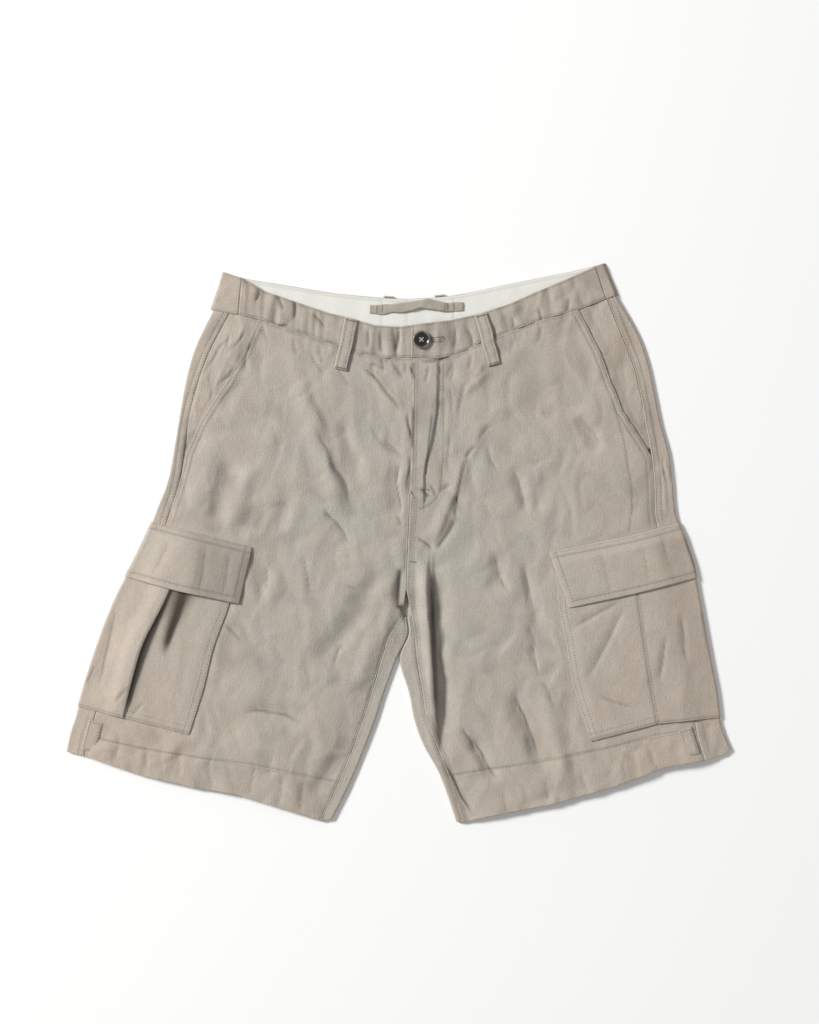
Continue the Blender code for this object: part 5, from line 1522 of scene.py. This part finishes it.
# %% Both flaps
# share of the way down a flap, its height there, and the height of its ridge
FLAP_ROWS = (0, 0.13, 0.24, 0.5, 0.78, 1), (0, 0.55, 1.1, 1.2, 1.15, 1), (0, 0.9, 2.2, 2.4, 3, 3)
FLAP_EDGE_STITCH, FLAP_STITCH = 1.6, 7.0
FLAP_FINE = 44
FLAP_CREASE_GAIN, FLAP_RUMPLE, FLAP_PAINTED_SHADE, FLAP_PAINTED_SHADE_FROM = 1.5, 0.35, 0.22, -238


def make_flap(side, creases):
    flap = FLAPS[side]
    share = np.linspace(0, 1, FLAP_FINE)
    height = np.interp(share, *FLAP_ROWS[:2])
    ridge_height = np.interp(share, *FLAP_ROWS[::2]) * flap.bulge
    tops, lows = np.array(flap[:3], float), np.array(flap[3:6], float)
    inner, ridge, outer = (mix(top, low, share[:, None]) for top, low in zip(tops, lows))
    sewn_down = LEG_WALL / 2 + LAYER_GAP + FLAP_WALL / 2
    lift = sewn_down + (FLAP_LIFT - sewn_down) * np.minimum(height, 1)
    puff = ((POCKET_PUFF + PLEAT_GROOVE) * height)[:, None]
    steps = np.append((0, 0.012, 0.028, 0.05, 0.075), np.linspace(0.105, 1, 34))
    near = stretch(inner, ridge, steps)
    near_z = (calm_height(*xy(near)) + lift[:, None] + puff * smooth(0.3 + steps * 5)
              + ridge_height[:, None] * smooth(steps * 1.1))
    turn = wrapped(side, outer[:, 1], ridge, lift, FLAP_WRAP_END)
    over_steps = np.linspace(0, 1, 24)[1:-1]
    over = stretch(ridge, turn[:, 0, :2], over_steps)
    over_z = (calm_height(*xy(over)) + lift[:, None] + puff * smooth(2 - 2 * over_steps)
              + ridge_height[:, None] * smooth(1.12 - over_steps * 1.15))
    grid = np.concatenate([np.dstack([near, near_z]), np.dstack([over, over_z]), turn], axis=1)
    x, y = xy(grid)
    front, top, low = run(grid, 1), run(grid, 0), run(grid, 0, back=True)
    free = smooth(top / 18) * smooth(run(grid, 1, back=True) / 20)
    moved = FLAP_CREASE_GAIN * folds_height(creases, x, y) + FLAP_RUMPLE * rumple(x - 70, y) + 0.2
    edges = np.minimum(front, low)
    sewn = np.clip(furrow(edges, FLAP_STITCH) + furrow(top, FLAP_STITCH), 0, 1)
    grid[..., 2] += np.maximum(moved, -0.3) * free * 0.8
    grid[..., 2] += (0.6 * puckers(x, y, np.abs(edges - FLAP_STITCH), 75) + rolled(edges) * 0.9
                     + 0.6 * rolled(top) - 0.16 * sewn)
    # The right flap is painted darker over its part nearer the middle of the shorts, a painted shade; shade
    # is also painted into its furrows and along its creases.
    painted_flap_shade = FLAP_PAINTED_SHADE * smooth((x - FLAP_PAINTED_SHADE_FROM) / 22) if side == "right" else 0
    return cloth("cargo_flap_" + side, grid, FLAP_WALL,
                 LEGS[side].outward * POCKET_LEAN + math.pi / 2, rubbed=worn(edges, 0.35) + worn(top, 0.2),
                 sunk_and_painted_shade=SEAM_SHADE * sewn + painted_crease_shade(creases, x, y) + painted_flap_shade)


make_flap("right", RIGHT_FLAP_CREASES)
make_flap("left", LEFT_FLAP_CREASES)

# %% [markdown]
# ## Belt loops, hanger tape and hem tabs
# These are narrow folded strips. The front belt loops arch over the waistband between two
# bar tacks; the hanger is a tape sewn flat at both ends and slack in the middle; the tips
# of the back belt loops fold over the waistband's top edge.

# %% Strips
Strip = namedtuple("Strip", "name top bottom width")
BELT_LOOPS = (
    Strip("belt_loop_right", (-51.7, 247.2), (-64, 191.5), 14.0),
    Strip("belt_loop_left", (90.5, 252.6), (105.6, 197), 14.0),
)
LOOP_ARCH = ((0.0, 0.0), (0.08, 0.15), (0.25, 0.9), (0.5, 1.2), (0.7, 0.9), (0.86, 0.2), (1.0, -0.35))
LOOP_WALL, TAPE_WALL, TAB_WALL = 1.1, 0.9, 0.6
LOOP_FURROW, LOOP_STITCH, TAB_STITCH, TAB_LIFT = 3.2, 3.8, 2.0, 0.1


def strip(centres, heights, width, columns, crown=0.0):
    """Grid along a line of centres, its cross-section crowned and rolled at both edges."""
    along = unit(np.gradient(centres, axis=0))
    across = np.column_stack([-along[:, 1], along[:, 0]])
    offsets = np.linspace(-0.5, 0.5, columns) * width
    places = centres[:, None, :] + across[:, None, :] * offsets[None, :, None]
    bend = crown * (1 - (2 * offsets / width) ** 2) + rolled((width / 2 - np.abs(offsets)) * 1.4) * 0.6
    return np.dstack([places, heights[:, None] + bend[None, :]])


def strip_centres(ends, count):
    share = np.linspace(0, 1, count)
    return share, mix(np.array(ends.top), np.array(ends.bottom), share[:, None])


def make_belt_loop(loop):
    share, centres = strip_centres(loop, 44)
    rest = BAND_WALL / 2 + LAYER_GAP + LOOP_WALL / 2 + 0.15
    heights = band_under(*centres.T) + rest + line_at(LOOP_ARCH, share)
    grid = strip(centres, heights, loop.width, 13, 0.15)
    side = from_sides(grid)
    sewn = furrow(side, LOOP_FURROW)
    grid[..., 2] += 0.35 * hills(*xy(grid), 8, 81) - 0.2 * sewn
    grid[..., 0] += 0.8 * hills(*xy(grid), 16, 82)
    # Painted shade in the stitched furrows.
    return cloth(loop.name, grid, LOOP_WALL - 0.1, rubbed=worn(side, 0.15),
                 sunk_and_painted_shade=SEAM_SHADE * sewn, weave=np.dstack([run(grid, 1), run(grid, 0)]))


for belt_loop in BELT_LOOPS:
    make_belt_loop(belt_loop)

# %% Hanger tape and back belt loop tips
HANGER_PATH = ((-31.5, 258.5), (-20, 258.2), (5, 261), (30, 264.5), (48, 262), (56, 261), (71, 261.5))
HANGER_ARCH = (0.0, 0.0, 0.9, 1.9, 0.8, 0.0, 0.0)
HANGER_WIDTH = 10.0
BACK_LOOPS = (("belt_loop_back_right", -11.0), ("belt_loop_back_left", 45.6))
BACK_LOOP_WIDTH, BACK_LOOP_SHOWS, BACK_LOOP_WALL = 11.5, 2.4, 0.8


def make_hanger():
    places = np.linspace(0, len(HANGER_PATH) - 1, 70)
    centres = through(HANGER_PATH, places)
    rest = BAND_WALL + SEAM_GAP + FACING_WALL + LAYER_GAP + TAPE_WALL / 2 + 0.35
    arch = np.maximum(through(HANGER_ARCH, places)[:, 0], 0)
    grid = strip(centres, rest + arch, HANGER_WIDTH, 12, 0.1)
    x, y = xy(grid)
    slack = smooth(arch / 0.8)[:, None]
    grid[..., 2] += (0.6 * hills(x, y, 9, 83) + 0.3) * slack + 0.22 * hills(x, y, 5, 84) + 0.1
    grid[..., 1] += 1.0 * hills(x, y, 10, 85)
    return cloth("hanger_loop", grid, TAPE_WALL - 0.1, weave=np.dstack([run(grid, 1), run(grid, 0)]),
                 rubbed=worn(from_sides(grid), 0.3), material=TAPE, slot="tape")


def make_back_loop_tip(name, x):
    half = BACK_LOOP_WALL / 2
    angles = np.radians(np.arange(-60, 91, 10))
    out = np.append(0, BACK_LOOP_SHOWS / 2 * np.cos(angles))
    bend = np.append(half, half + (BAND_WALL / 2 - half + 0.2) * (1 + np.sin(angles)))
    place = x + BACK_LOOP_WIDTH * np.linspace(-0.5, 0.5, 10)[:, None] + 0 * out
    edge = line_at(BACK_TOP, place) + 2 * SEAM_GAP + half
    return cloth(name, np.dstack([place, edge + out, bend + 0 * place]), BACK_LOOP_WALL)


make_hanger()
for tip_name, tip_x in BACK_LOOPS:
    make_back_loop_tip(tip_name, tip_x)

# %% Hem tabs
HEM_TABS = (
    Strip("hem_tab_right", (-333, -196), (-342, -229), 16.0),
    Strip("hem_tab_left", (315.5, -204), (324.5, -233), 15.0),
)


def make_hem_tab(tab):
    _, centres = strip_centres(tab, 26)
    heights = leg_height(*centres.T) + HEM_SEEN - LEG_WALL / 2 + TAB_LIFT + TAB_WALL / 2
    grid = strip(centres, heights, tab.width, 12, 0.1)
    side = np.minimum(from_sides(grid), from_sides(grid, 0))
    sewn = furrow(side, TAB_STITCH)
    grid[..., 2] += 0.5 * rolled(side) - 0.15 * sewn + 0.12 * hills(*xy(grid), 6, 87)
    # Painted shade in the stitched furrows.
    return cloth(tab.name, grid, TAB_WALL, rubbed=worn(side), sunk_and_painted_shade=SEAM_SHADE * sewn)


for hem_tab in HEM_TABS:
    make_hem_tab(hem_tab)

# %% [markdown]
# ## The button
# A four-hole button is a turned profile. The outline below goes from the middle of the back
# out to the rim and in again over the dished face; a Screw modifier turns it, and four
# small cylinders cut the holes. A cross of grey thread holds it down.

# %% Turned button
BUTTON_CENTRE = (25.3, 224.2)
BUTTON_PROFILE = (
    (0.0, 0.0), (6.8, 0.0), (7.6, 0.12), (8.9, 0.5), (9.55, 0.95), (9.85, 1.45), (9.9, 1.8), (9.8, 2.3),
    (9.5, 2.75), (9.1, 2.98), (8.7, 3.05), (8.25, 3.0), (7.8, 2.82), (7.3, 2.45), (6.9, 2.15),
    (6.4, 1.98), (5.6, 1.88), (4.0, 1.82), (2.0, 1.8), (0.0, 1.8),
)
BUTTON_STEPS = 64
HOLE_RADIUS, HOLE_OFFSET = 1.0, 2.1
BUTTON_SEAT = calm_height(*np.array(BUTTON_CENTRE)[:, None])[0] + BAND_LAP_RISE + BAND_WALL / 2 + SEAM_GAP


def make_button():
    made = made_of("polished_button", [(r * MM, 0, h * MM) for r, h in BUTTON_PROFILE],
                   [(i, i + 1) for i in range(len(BUTTON_PROFILE) - 1)])
    made.location = (BUTTON_CENTRE[0] * MM, BUTTON_CENTRE[1] * MM, BUTTON_SEAT * MM)
    turn = made.modifiers.new("turn", "SCREW")
    turn.steps = turn.render_steps = BUTTON_STEPS
    turn.use_merge_vertices = True
    turn.merge_threshold = 0.00001
    turn.use_normal_calculate = True
    cutters = []
    for number, (side_x, side_y) in enumerate(((1, 1), (-1, 1), (-1, -1), (1, -1))):
        bpy.ops.mesh.primitive_cylinder_add(vertices=20, radius=HOLE_RADIUS * MM, depth=8 * MM, location=(
            (BUTTON_CENTRE[0] + side_x * HOLE_OFFSET) * MM,
            (BUTTON_CENTRE[1] + side_y * HOLE_OFFSET) * MM, BUTTON_SEAT * MM))
        cutters.append(bpy.context.active_object)
        hole = made.modifiers.new(f"hole {number}", "BOOLEAN")
        hole.solver = "EXACT"
        hole.object = cutters[-1]
    mesh = applied(made)
    mesh.transform(made.matrix_world)
    made.modifiers.clear()
    made.location = (0, 0, 0)
    made.data = mesh
    mesh.materials.clear()
    mesh.materials.append(BUTTON_BLACK)
    mesh.polygons.foreach_set("use_smooth", [True] * len(mesh.polygons))
    mesh.set_sharp_from_angle(angle=math.radians(50))
    for cutter in cutters:
        bpy.data.objects.remove(cutter, do_unlink=True)
    PIECES["button"] = (made, "button")
    print("button:", triangles(made), "triangles")


bpy.context.view_layer.update()
make_button()

# %% [markdown]
# ## Stitches
# A seam is one short stitch repeated thousands of times along a path: work for Geometry
# Nodes. The tree makes a curve of a mesh's edges, puts a point every stitch, and sets a
# small rounded lozenge on each. The paths are dropped onto the finished cloth.

# %% Paths on the cloth
GROUND = {}
STITCH_SINK = 0.05
PATH_STEP = 4.0


def ground(names):
    """Search trees of the pieces that a seam lies on, made once."""
    for name in names.split():
        if name not in GROUND:
            GROUND[name] = BVHTree.FromObject(PIECES[name][0], bpy.context.evaluated_depsgraph_get())
    return [GROUND[name] for name in names.split()]


def dropped(line, names):
    """Points of a line, closely spaced, on the topmost of the named pieces."""
    line = np.asarray(line, float)
    lengths = np.concatenate([[0], np.cumsum(np.linalg.norm(np.diff(line, axis=0), axis=1))])
    at = np.linspace(0, lengths[-1], max(2, int(lengths[-1] / PATH_STEP) + 1))
    xs, ys = np.interp(at, lengths, line[:, 0]), np.interp(at, lengths, line[:, 1])
    path = []
    for x, y in zip(xs, ys):
        start = Vector((x * MM, y * MM, 0.1))
        hits = [tree.ray_cast(start, Vector((0, 0, -1)))[0] for tree in ground(names)]
        heights = [hit.z for hit in hits if hit is not None]
        if heights:
            path.append((x * MM, y * MM, max(heights) + STITCH_SINK * MM))
    return path


print("a stitch path on the hem:", len(dropped([(100, -290), (200, -265)], "front_left")), "points")

# %% [markdown]
# The paths follow the panels: along both sides of the waistband, inside the slash pockets,
# twice beside each side seam, above the hems, round pockets and flaps, and along the
# curved fly. Dense short rows make the bar tacks.

# %% All the seams
SEAMS, TACKS = [], []
LEG_PIECES = "front_right front_left back_right back_left"
FLY_STITCH, PLEAT_STITCH = 2.0, 1.6
TACK_HALF, TACK_IN = 5.6, 2.0


def sew(line, names, rows=SEAMS):
    path = dropped(line, names)
    if len(path) > 1:
        rows.append(path)


for side in ("right", "left"):
    leg = LEGS[side]
    out = leg.outward
    shown = PLACES < 7.1
    for at in DOUBLE_STITCH:
        sew((leg.side + (out * at, 0))[shown], "back_" + side)
    centre, edge = front_edges(side, 0.0)
    across = unit(edge - centre)
    slashed = (PLACES > 0.15) & (PLACES < 4.6)
    for at in SLASH_STITCHES:
        sew((edge - across * at)[slashed], "front_" + side)
    sew((centre + across * INSEAM_STITCH)[PLACES > CROTCH + 0.3], "front_" + side)
    row = int(np.searchsorted(PLACES, HEMLINE))
    sew([centre[row - 1] + (0, 0.4), edge[row - 1] + (0, 0.4)], "front_" + side)
seat = (PLACES > 3.6) & (PLACES < 8.1)
for at in (INSEAM_STITCH, CENTRE_DOUBLE_STITCH + 1.6):
    sew((centre + (at, 0))[seat], LEG_PIECES)
sew((centre + (FLY_STITCH, 0))[(PLACES > 0.2) & (PLACES < 3.7)], "front_left")
sew(J_STITCH, "front_left")
sew(POCKET_BAG_STITCH, "front_left")
print(len(SEAMS), "seams on the legs")

# %% Seams of bands, pockets and flaps
for side, ends in BAND_ENDS.items():
    flat = band_flat(*ends)
    for near, far in ((0, -1), (-1, 0)):
        sew(flat[:, near] + unit(flat[:, far] - flat[:, near]) * BAND_STITCH, "waistband_" + side)
ends = mix(flat[0, 0], flat[0, -1], np.array([[0.08], [0.92]]))
sew(ends + (BAND_END_STITCH, 0), "waistband_left")
for side, flap in FLAPS.items():
    inner, pleat, outer, _, share = pocket_lines(side)
    rows = share > 0.2
    name = "cargo_pocket_" + side
    out = unit(pleat - inner)
    for at in POCKET_STITCHES:
        sew((inner + out * at)[rows], name)
    bottom = np.array([inner[-1], pleat[-1], outer[-1]])
    up = unit(inner[-2] - inner[-1])
    sew(bottom + up * POCKET_FOOT_STITCHES[0], name)
    sew(bottom[:2] + up * POCKET_FOOT_STITCHES[1], name)
    if side == "left":
        sew((pleat + out * PLEAT_STITCH)[rows], name)
    cloth_name = "cargo_flap_" + side
    top, low = np.array(flap[:3], float), np.array(flap[3:6], float)
    for at in (FLAP_EDGE_STITCH, FLAP_STITCH):
        down, along = unit(np.stack([low[0] - top[0], top[1] - top[0]])) * at
        sew([top[2] + down, top[1] + down, top[0] + down + along], cloth_name)
    sew([top[0] + down + along, low[0] - down + along], cloth_name)
    sew([low[0] - down + along, low[1] - down, low[2] - down], cloth_name)
print(len(SEAMS), "seams in all")

# %% Seams of loops, tape and tabs, and the bar tacks
def directions(loop):
    """Both ends of a strip, and its directions along and across."""
    top, bottom = np.array(loop.top, float), np.array(loop.bottom, float)
    along = unit(bottom - top)
    return top, bottom, along, np.array((-along[1], along[0]))


for loop in BELT_LOOPS:
    top, bottom, along, across = directions(loop)
    for side in (-1, 1):
        out = across * side * LOOP_STITCH
        sew([top + out + along, bottom + out - along], loop.name)
    for place in (top + along * TACK_IN, bottom - along * TACK_IN):
        sew([place - across * TACK_HALF, place + across * TACK_HALF], loop.name, TACKS)
for x, low, high in ((-24, 254.6, 262.4), (-18, 254.8, 262.6), (54, 257, 265), (61, 257, 265.4)):
    sew([(x, low), (x, high)], "hanger_loop", TACKS)
for tab in HEM_TABS:
    top, bottom, along, across = directions(tab)
    top, bottom = top + along * TAB_STITCH, bottom - along * TAB_STITCH
    across = across * (tab.width / 2 - TAB_STITCH)
    sew([top - across, top + across, bottom + across, bottom - across, top - across], tab.name)
for ends in (((13.5, 57.5), (17.5, 50)), ((20, 59.6), (34, 59.2)), ((12.5, -19.8), (19.5, -20.8))):
    sew(ends, LEG_PIECES, TACKS)
print(len(SEAMS), "seams and", len(TACKS), "bar tacks")

# %% [markdown]
# The buttonhole is a slot bound all round with stitches laid across its edge, next to each
# other. Its ring is a path of its own, with stitches turned a quarter.

# %% Buttonhole ring
HOLE_START, HOLE_END, HOLE_HALF = 34.8, 50.5, 2.5
HOLE_Y, HOLE_SLOPE = 224.6, 0.12


def buttonhole_ring():
    turns = np.linspace(0, 2 * math.pi, 41)
    middle, half = (HOLE_START + HOLE_END) / 2, (HOLE_END - HOLE_START) / 2
    x = middle + half * np.clip(np.cos(turns) * 1.4, -1, 1)
    y = HOLE_Y + HOLE_SLOPE * (x - middle) + HOLE_HALF * np.clip(np.sin(turns) * 2.0, -1, 1)
    return dropped(np.column_stack([x, y]), "waistband_left")


HOLE_RING = buttonhole_ring()
print(len(HOLE_RING), "points round the buttonhole")

# %% The stitch tree
def stitch_tree():
    tree = bpy.data.node_groups.new("stitches along a path", "GeometryNodeTree")
    face = tree.interface
    face.new_socket("Geometry", in_out="INPUT", socket_type="NodeSocketGeometry")
    for label in ("Pitch", "Length", "Thickness", "Quarter turn"):
        face.new_socket(label, in_out="INPUT", socket_type="NodeSocketFloat")
    face.new_socket("Thread", in_out="INPUT", socket_type="NodeSocketMaterial")
    face.new_socket("Geometry", in_out="OUTPUT", socket_type="NodeSocketGeometry")
    given = tree.nodes.new("NodeGroupInput").outputs
    curve = add(tree, "GeometryNodeMeshToCurve", {"Mesh": given["Geometry"]})
    points = add(tree, "GeometryNodeResampleCurve", {
        "Curve": curve, "Length": given["Pitch"]}, mode="LENGTH")
    ball = add(tree, "GeometryNodeMeshIcoSphere", {"Radius": 0.5, "Subdivisions": 1})
    size = add(tree, "ShaderNodeCombineXYZ", {
        "X": given["Length"], "Y": given["Thickness"], "Z": given["Thickness"]})
    lozenge = add(tree, "GeometryNodeTransform", {"Geometry": ball, "Scale": size})
    tangent = add(tree, "GeometryNodeInputTangent")
    aligned = add(tree, "FunctionNodeAlignRotationToVector", {"Vector": tangent}, axis="X")
    quarter = add(tree, "ShaderNodeCombineXYZ", {"Z": given["Quarter turn"]})
    spin = add(tree, "FunctionNodeEulerToRotation", {"Euler": quarter})
    facing = add(tree, "FunctionNodeRotateRotation", {"Rotation": aligned, "Rotate By": spin},
                 rotation_space="LOCAL")
    laid = add(tree, "GeometryNodeInstanceOnPoints", {
        "Points": points, "Instance": lozenge, "Rotation": facing})
    real = add(tree, "GeometryNodeRealizeInstances", {"Geometry": laid})
    smooth_faces = add(tree, "GeometryNodeSetShadeSmooth", {"Geometry": real})
    coloured = add(tree, "GeometryNodeSetMaterial", {"Geometry": smooth_faces, "Material": given["Thread"]})
    out = tree.nodes.new("NodeGroupOutput")
    tree.links.new(coloured, out.inputs["Geometry"])
    return tree


STITCHES = stitch_tree()


def stitched(name, paths, pitch, length, thickness, quarter=0.0, thread=THREAD):
    """One mesh of stitches along all the given paths."""
    points, edges = [], []
    for path in paths:
        first = len(points)
        points += path
        edges += [(i, i + 1) for i in range(first, len(points) - 1)]
    made = made_of(name, points, edges)
    modifier = made.modifiers.new("stitches", "NODES")
    modifier.node_group = STITCHES
    values = {"Pitch": pitch * MM, "Length": length * MM, "Thickness": thickness * MM,
              "Quarter turn": quarter, "Thread": thread}
    for item in STITCHES.interface.items_tree:
        if item.in_out == "INPUT" and item.name in values:
            modifier[item.identifier] = values[item.name]
    made.data = applied(made)
    made.modifiers.clear()
    print(f"{name}: {triangles(made)} triangles")
    return made


TOPSTITCHING = stitched("topstitching", SEAMS, 3.3, 2.3, 0.6)
BAR_TACKS = stitched("bar_tacks", TACKS, 0.55, 1.9, 0.5, math.pi / 2)
BUTTONHOLE = stitched("buttonhole_stitches", [HOLE_RING], 0.6, 2.4, 0.55, math.pi / 2)

# %% [markdown]
# The slot in the buttonhole, a thin sheet of painted shadow, and the thread cross on the
# button are small, but the eye goes to them first.

# %% Thread cross on the button and slot of the buttonhole
SLOT_SHADOW = new_material("shaded inside of the buttonhole", Roughness=0.95,
                           Base_Color=linear("#7b7266"))[0]
BUTTON_THREAD = new_material("waxed grey button thread", Roughness=0.45, Base_Color=linear("#b9b3a7"))[0]
THREAD_SPREAD, THREAD_RISE = 0.2827, 0.55
SLOT_INSET, SLOT_WIDE = 1.6, 1.0


def button_cross():
    x, y = BUTTON_CENTRE
    steps = np.linspace(-1, 1, 9)
    rise = THREAD_RISE * np.cos(steps * math.pi / 2) ** 0.5
    height = BUTTON_SEAT + BUTTON_PROFILE[-1][1] - 0.15 + rise
    paths = []
    for slant in (1, -1):
        for shift in (-THREAD_SPREAD, THREAD_SPREAD):
            across = steps * HOLE_OFFSET
            path = np.column_stack([x + across - slant * shift, y + slant * across + shift, height])
            paths.append((path * MM).tolist())
    return stitched("button_thread", paths, 0.35, 0.8, 0.8, 0.0, BUTTON_THREAD)


# The slot is a thin sheet in a painted shadow colour, laid just over the band.
def buttonhole_slot():
    x = np.linspace(HOLE_START + SLOT_INSET, HOLE_END - SLOT_INSET, 12)
    middle = HOLE_Y + HOLE_SLOPE * (x - (HOLE_START + HOLE_END) / 2)
    low = dropped(np.column_stack([x, middle - SLOT_WIDE / 2]), "waistband_left")
    high = [(px, py + SLOT_WIDE * MM, pz) for px, py, pz in low]
    points = [(px, py, pz + 0.02 * MM) for px, py, pz in low + high]
    count = len(low)
    faces = [(i, i + 1, count + i + 1, count + i) for i in range(count - 1)]
    return made_of("buttonhole_slot", points, [], faces, SLOT_SHADOW)


CROSS = button_cross()
SLOT = buttonhole_slot()
print("slot of the buttonhole:", triangles(SLOT), "triangles")

# %% [markdown]
# ## Which piece stands for which solid
# Each panel takes the place of the plain solid of the same name and moves with the one
# body of the shorts. Thread adds to them and replaces nothing.

# %% Ride and replace
for name, (piece, slot_name) in PIECES.items():
    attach(piece, "root")
    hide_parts(name)
THREADS = ((TOPSTITCHING, "linen"), (BAR_TACKS, "linen"), (BUTTONHOLE, "linen"), (SLOT, "linen"),
           (CROSS, "button"))
for piece, slot_name in THREADS:
    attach(piece, "root")
total = sum(triangles(piece) for piece, _ in (*PIECES.values(), *THREADS))
print("the shorts have", total, "triangles")

# %% [markdown]
# Cloth is cut flat before it is sewn, and its area doesn't change.

# %% [markdown]
# ## Floor, light and camera
# On the plain white table a wide soft light from the upper left makes each fold bright on
# its left flank and shaded on its right, and an even pale sky fills the shadows. The camera
# looks straight down.

# %% White table
WHITE = new_material("matt white painted table", Roughness=0.9, Specular_IOR_Level=0.1,
                     Base_Color=linear("#fcfcfb"))[0]
FLOOR_HALF, FLOOR_DROP = 12.0, 0.0005
corners = [(x * FLOOR_HALF, y * FLOOR_HALF, -FLOOR_DROP) for x, y in ((-1, -1), (1, -1), (1, 1), (-1, 1))]
floor = made_of("pale_floor", corners, [], [(0, 1, 2, 3)], WHITE)
print("floor", 2 * FLOOR_HALF, "m wide")

# %% Studio light
def soft_light(name, place, target, size, power, colour="#ffffff"):
    data = bpy.data.lights.new(name, "AREA")
    data.shape = "DISK"
    data.size = size
    data.energy = power
    data.color = linear(colour)[:3]
    lamp = bpy.data.objects.new(name, data)
    lamp.location = place
    lamp.rotation_euler = (Vector(target) - Vector(place)).to_track_quat("-Z", "Y").to_euler()
    bpy.context.scene.collection.objects.link(lamp)


sky = bpy.data.worlds.new("pale studio")
sky.use_nodes = True
sky.node_tree.nodes["Background"].inputs["Color"].default_value = linear("#ffffff")
sky.node_tree.nodes["Background"].inputs["Strength"].default_value = 0.33
bpy.context.scene.world = sky
bpy.context.scene.view_settings.view_transform = "Standard"
soft_light("wide light at the upper left", (-5.2, 2.6, 3.9), (0, 0, 0), 1.7, 560)
soft_light("faint light from the right", (2.0, -1.6, 2.6), (0, 0, 0), 2.0, 10)
print("two lights and a pale sky")

# %% Camera straight above
CAMERA_PLACE = (0.0121, 0.0347, 1.887)
lens = bpy.data.cameras.new("camera above")
lens.lens = 60
lens.sensor_width = 36
lens.sensor_fit = "AUTO"
lens.clip_start = 0.05
camera = bpy.data.objects.new("camera above", lens)
camera.location = CAMERA_PLACE
bpy.context.scene.collection.objects.link(camera)
bpy.context.scene.camera = camera
print("camera", CAMERA_PLACE[2], "m above the table")
